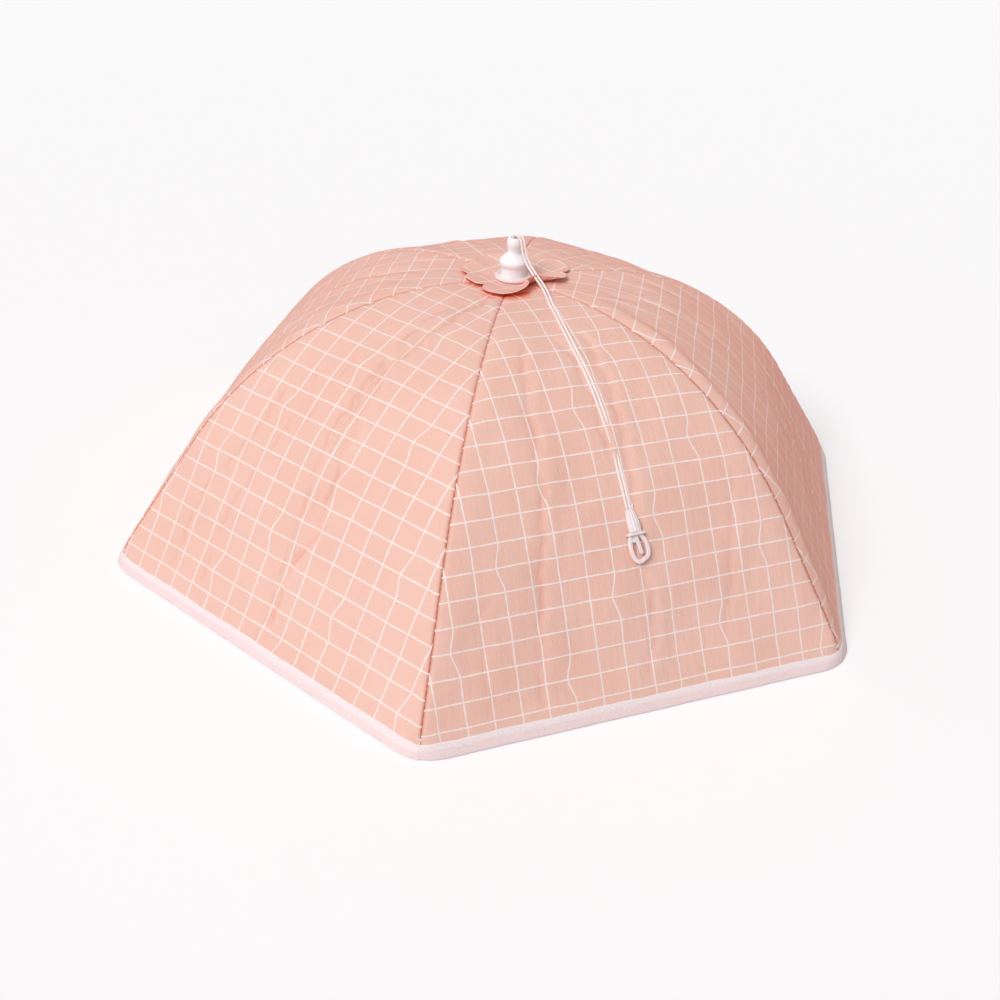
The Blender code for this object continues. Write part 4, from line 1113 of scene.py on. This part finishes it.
def makeTabTail():
    # the cut end of the cord, that stands up beside the strands
    bpy.ops.mesh.primitive_cylinder_add(vertices=10, radius=tab["tailRadius"], depth=0.0030,
                                        location=tab["tail"], rotation=(math.pi / 2, 0, 0))
    piece = startEdit("tabTail")
    for length, lean, size in tab["tailSteps"]:
        high = max(v.co.y for v in bmesh.from_edit_mesh(piece.data).verts)
        pick(piece, "FACE", lambda place, part: place.y > high - 0.00001)
        pull(lean, length, 0.0001)
        bpy.ops.transform.resize(value=(size, 1, size))
    endEdit(piece, tabFinish)
    applyModifier(piece, "SUBSURF", levels=1, render_levels=1)
    shadeSmooth(piece, 60)
    return placeOnTab(piece)


def makeTabBar():
    # a block with its ends pulled out to small nubs, and all edges rounded
    x, y = tab["barMiddle"]
    bpy.ops.mesh.primitive_cube_add(size=1, location=(x, y, tab["foot"] + tab["barSize"][2] / 2 + 0.0002))
    bpy.context.object.scale = tab["barSize"]
    piece = startEdit("tabBar")
    for side in (-1, 1):
        pick(piece, "FACE", lambda place, part: part.normal.x * side > 0.9)
        bpy.ops.mesh.inset(thickness=0.0002, depth=0.0)
        for length, height, thickness in tab["nubs"]:
            pull(side * length, 0, 0)
            bpy.ops.transform.resize(value=(1, height, thickness))
    endEdit(piece, tabFinish)
    applyModifier(piece, "BEVEL", width=0.00028, segments=3, limit_method="ANGLE")
    shadeSmooth(piece, 50)
    return placeOnTab(piece)


def makeTabBand(name, roundEnd=True):
    # a small square pulled along a flat path, then given its thickness and rounded
    width, thickness = tab["bandWidth"][name], tab["bandThickness"][name]
    points = curveThrough([Vector((x / 1000, y / 1000, 0)) for x, y in tab[name]], 0.0008)
    heading = points[1] - points[0]
    facing = math.atan2(heading.y, heading.x)
    bpy.ops.mesh.primitive_plane_add(size=1, location=(points[0] + points[1]) / 2, rotation=(0, 0, facing))
    bpy.context.object.scale = (heading.length, width, 1)
    piece = startEdit("tab" + name.capitalize())
    pick(piece, "EDGE", lambda place, part: (place - points[1]).length < 0.00002)
    for before, point, after in zip(points[1:], points[2:], points[3:] + points[-1:]):
        pull(*(point - before))
        ahead = after - before
        turn = (math.atan2(ahead.y, ahead.x) - facing + math.pi) % (2 * math.pi) - math.pi
        bpy.ops.transform.rotate(value=-turn, orient_axis="Z", center_override=tuple(point))
        facing += turn
    if roundEnd:
        bpy.ops.transform.resize(value=(0.72, 0.72, 1), center_override=tuple(points[-1]))
    endEdit(piece, paleFinish, merge=0.000001)
    applyModifier(piece, "SOLIDIFY", thickness=thickness, offset=0)
    applyModifier(piece, "BEVEL", width=min(width, thickness) * 0.36, segments=4, limit_method="ANGLE")
    shadeSmooth(piece, 50)
    return placeOnTab(piece, tab["foot"] + tab["bandMiddle"][name])


tabPieces = [makeTabSleeve(), makeTabTail(), makeTabBar(), makeTabBand("loop", roundEnd=False),
             makeTabBand("tongue"), makeTabBand("web")]
print("pull tab made")

# dark stitches down the seams, one seam sewn and copied round, and white ones along the tape

sewing = {
    "thread": 0.00036, "stitch": 0.0034, "space": 0.0008, "denseSpace": 0.0002, "denseLength": 0.125,
    "start": 0.019, "endHeight": 0.0125, "lift": 0.00034, "blendReach": 0.27,
    "tapeStitch": 0.0027, "tapeSpace": 0.0010, "tapeHeight": 0.0067, "tapeThread": 0.00034,
    "tapeStart": 0.0012, "tapeEnd": 0.003, "tapeLift": 0.00064,
    "tackHeight": 0.0118, "tackWidth": 0.0020, "tackThread": 0.00026, "tackRows": (-0.0007, -0.0001, 0.0005),
    # loose end beside a corner: distance from the seam, distance down and lift
    "looseThread": ((0.0100, 0.0030, 0.0006), (0.0106, 0.0018, 0.0009), (0.0110, 0.0006, 0.0008),
                    (0.0108, -0.0006, 0.0006)),
}


def seamPoint(down, lift):
    # on the seam of rib 1, between the edges of panels 6 and 1
    halfWidth = halfWidthAt(down)
    return (pointOn(1, -halfWidth, down, -lift) + pointOn(6, halfWidth, down, -lift)) / 2


def makeSeamStitches():
    parts = []
    down = sewing["start"]
    while down + sewing["stitch"] < lengthAtHeight(sewing["endHeight"]):
        start, end = (seamPoint(place, sewing["lift"]) for place in (down, down + sewing["stitch"]))
        normal = Vector((1, 0, 0)).cross(end - start).normalized()
        parts.append(stitchParts(start, end, normal if normal.z > 0 else -normal, sewing["thread"]))
        down += sewing["stitch"] + sewing["denseSpace" if down < sewing["denseLength"] else "space"]
    first = meshPiece("seamStitches1", *joinParts(parts), darkThread, smooth=60)
    for rib, piece in enumerate(copiesRound(first, "seamStitches"), 1):
        angle = -math.pi / 2 + 2 * halfSide * (rib - 1)
        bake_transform(piece)
        mount(piece)


def makeCornerTacks():
    # white threads across each corner just above the tape, and a loose end beside them
    middle = lengthAtHeight(sewing["tackHeight"])
    parts = []
    for down in (middle + row for row in sewing["tackRows"]):
        away = halfWidthAt(down) - sewing["tackWidth"]
        left, right = pointOn(6, away, down, -0.0003), pointOn(1, -away, down, -0.0003)
        outward = seamPoint(down, 0.0009) - (left + right) / 2
        parts.append(stitchParts(left, right, outward.normalized(), sewing["tackThread"],
                                 hump=max(outward.length, 0.0004)))
    tack = meshPiece("cornerTack1", *joinParts(parts), whiteThread, smooth=60)
    loose = [pointOn(6, halfWidthAt(middle) - away, middle + down, -lift)
             for away, down, lift in sewing["looseThread"]]
    verts, faces, uv = tubeParts(curveThrough(loose, 0.0004), 0.00018, 6)
    thread = meshPiece("looseThread1", verts, faces, whiteThread, smooth=60)
    for rib, piece in enumerate(copiesRound(tack, "cornerTack"), 1):
        mount(piece, body=f"rib_{rib}")
    for rib, piece in enumerate(copiesRound(thread, "looseThread"), 1):
        followRib(piece, (rib + 4) % 6 + 1, 1)
        mount(piece)


def makeTapeStitches(panel, side):
    # a run of white thread that holds the tape's upper edge
    parts = []
    angle = panelAngle(panel)
    outward = Vector((math.cos(angle), math.sin(angle), 0.6)).normalized()
    place = sewing["tapeStart"]
    while place + sewing["tapeStitch"] < halfWidthAt(clothLength) - sewing["tapeEnd"]:
        ends = []
        for across in (place, place + sewing["tapeStitch"]):
            down = lengthAtHeight(sewing["tapeHeight"] + 0.00012 * math.sin(across * 420 + panel))
            waves = tapeWaves(panel, np.array([across * side]), np.array([down]))
            ends.append(pointOn(panel, across * side, down, -sewing["tapeLift"], waves))
        parts.append(stitchParts(*ends, outward, sewing["tapeThread"]))
        place += sewing["tapeStitch"] + sewing["tapeSpace"]
    piece = meshPiece(halfName("tapeStitches", panel, side), *joinParts(parts), whiteThread, smooth=60)
    followRib(piece, panel, side)
    mount(piece)


makeSeamStitches()
makeCornerTacks()
for panel, side in halves:
    makeTapeStitches(panel, side)
print("stitches made")

# cloth tunnels on the ribs, gathered a little, and the knotted cord inside the frame

tunnel = {"start": 0.0925, "endHeight": 0.0300, "depth": 0.0059, "radius": 0.00172, "wall": 0.00030,
          "gather": 0.00013, "tight": 0.00012, "shut": 0.00016, "flatWidth": 0.0115, "sides": 20,
          "ringStep": 0.0012}


def ribLine():
    # down a rib at a depth below its seam: distance from the axis and height
    arcRadius, arcHeight = domeArc()
    bend = dome["shoulderRadius"] - tunnel["depth"]
    slopes = np.linspace(math.asin((tunnel["start"] - arcRadius) / bend), dome["legSlope"], 41)
    points = [Vector((arcRadius + bend * math.sin(slope), arcHeight + bend * math.cos(slope)))
              for slope in slopes]
    drop = points[-1].y - tunnel["endHeight"]
    points.append(points[-1] + Vector((drop / math.tan(dome["legSlope"]), -drop)))
    line = points[:1]
    for a, b in zip(points, points[1:]):
        pieces = max(1, round((b - a).length / tunnel["ringStep"]))
        line += [a.lerp(b, (k + 1) / pieces) for k in range(pieces)]
    return line


def makeTunnels():
    line = ribLine()
    sides = tunnel["sides"]
    verts, uv = [], []
    travelled = 0.0
    for k, (before, point, after) in enumerate(zip(line[:1] + line, line, line[1:] + line[-1:])):
        along = (after - before).normalized()
        travelled += (point - before).length
        tight = tunnel["tight"] * math.sin(travelled * 230) * math.sin(travelled * 41 + 1)
        tight -= tunnel["shut"] * max(0, 3 - min(k, len(line) - 1 - k)) / 3
        for j in range(sides):
            angle = 2 * math.pi * j / sides
            fold = tunnel["gather"] * math.sin(travelled * 1500 + 2.2 * math.sin(angle * 2 + travelled * 60))
            radius = tunnel["radius"] + tight + fold * (0.4 + 0.6 * abs(math.sin(angle)))
            verts.append((radius * math.sin(angle), -(point.x - along.y * radius * math.cos(angle)),
                          point.y + along.x * radius * math.cos(angle)))
            uv.append((tunnel["flatWidth"] * j / sides, travelled))
    first = meshPiece("ribTunnel1", verts, ringFaces(len(line), sides, flip=True), tunnelFinish, uv,
                      smooth=None)
    thicken(first, tunnel["wall"], 50)
    tunnels = copiesRound(first, "ribTunnel")
    for rib, piece in enumerate(tunnels, 1):
        mount(piece, f"rib_sleeve_{rib}", body=f"rib_{rib}")
    return tunnels, travelled


tunnels, tunnelLength = makeTunnels()

knot = {
    "middle": 0.1576, "top": 0.2170, "strand": 0.0008, "pair": 0.0011, "sides": 10,
    "size": 0.00088, "cord": 0.00115,
    # the cut ends: to the side, forward and below the knot's middle
    "tail": ((0.0009, 0.0004, 0.0016), (0.0013, 0.0006, 0.0026), (0.0019, 0.0010, 0.0033)),
}


def makeKnot():
    # both strands run up through the runner and the hub; below it they are tied in one round knot
    tubes = []
    for side in (-1, 1):
        heights = np.linspace(knot["middle"] + 0.0018, knot["top"], 40)
        tubes.append(tubeParts([Vector((side * knot["pair"], 0, height)) for height in heights],
                               knot["strand"], knot["sides"]))
        tail = [Vector((side * x, side * y, knot["middle"] - z)) for x, y, z in knot["tail"]]
        tubes.append(tubeParts(curveThrough(tail, 0.0003), knot["strand"] * 0.9, knot["sides"]))
    wide, high = knot["size"] * 0.86, knot["size"] * 1.7
    turns = [Vector((wide * (math.sin(t) + 2 * math.sin(2 * t)), wide * (math.cos(t) - 2 * math.cos(2 * t)),
                     knot["middle"] - high * math.sin(3 * t)))
             for t in (2 * math.pi * k / 180 for k in range(181))]
    tubes.append(tubeParts(turns, knot["cord"], 12, close=False))
    piece = meshPiece("cordKnot", *joinParts(tube[:2] for tube in tubes), innerCordFinish, smooth=60)
    mount(piece, "cord_knot", body="runner")


makeKnot()
print("tunnels and knot made")

# floor, lamp and background

studio = {"floor": linear(252, 253, 255), "bounce": linear(206, 204, 206), "whiteShare": 0.06,
          "worldLight": 0.47, "worldColour": (1.0, 0.95, 0.935, 1.0), "keyStrength": 2.15,
          "keyAngle": math.radians(32), "keyPlace": (-0.76, -1.36, 1.80), "keyAim": (0, 0, 0.08)}


def makeFloor():
    bpy.ops.mesh.primitive_plane_add(size=80, location=(0, 0, 0))
    floor = bpy.context.object
    floor.name = "floor"
    finish, shader, place = newFinish("paleFloor", studio["floor"], 0.6, Specular_IOR_Level=0.2)
    # the camera sees the floor nearer to white, with the object's shadow kept
    tree = finish.node_tree
    seen = newNode(tree, "LightPath", {}, "Is Camera Ray")
    setInputs(shader, Base_Color=mix(seen, studio["bounce"], studio["floor"]))
    setInputs(tree.nodes["Material Output"], Surface=newNode(tree, "MixShader", {
        0: seen * studio["whiteShare"], 1: Field(shader.outputs[0]), 2: newNode(tree, "Emission", {})}))
    floor.data.materials.append(finish)


def makeLight():
    world = bpy.data.worlds.new("studio")
    world.use_nodes = True
    tree = world.node_tree
    setInputs(tree.nodes["Background"], Color=studio["worldColour"], Strength=studio["worldLight"])
    camera, glossy, through = (newNode(tree, "LightPath", {}, f"Is {ray} Ray")
                               for ray in ("Camera", "Glossy", "Transmission"))
    setInputs(tree.nodes["World Output"], Surface=newNode(tree, "MixShader", {
        0: camera.maths("MAXIMUM", glossy.maths("MAXIMUM", through)),
        1: Field(tree.nodes["Background"].outputs[0]),
        2: newNode(tree, "Background", {"Color": (1, 1, 1, 1), "Strength": 1.0})}))
    bpy.context.scene.world = world
    data = bpy.data.lights.new("keyLamp", "SUN")
    data.energy, data.angle = studio["keyStrength"], studio["keyAngle"]
    lamp = addToScene("keyLamp", data)
    lamp.location = studio["keyPlace"]
    aim = Vector(studio["keyAim"]) - Vector(studio["keyPlace"])
    lamp.rotation_euler = aim.to_track_quat("-Z", "Y").to_euler()


makeFloor()
makeLight()
print("studio made")

# finishes of the CAD's own frame parts: wires are steel, the rest is plastic

for name, node in nodes.items():
    if name.startswith(("rib_wire", "rib_tip", "stretcher", "hub", "runner")):
        node.data.materials.clear()
        node.data.materials.append(steelFinish if "wire" in name else framePlastic)

# the scene's view transform

for half, piece in liningHalves.items():
    f"rib_wire_{ribOf(*half)}"

scene = bpy.context.scene
scene.view_settings.view_transform = "Standard"
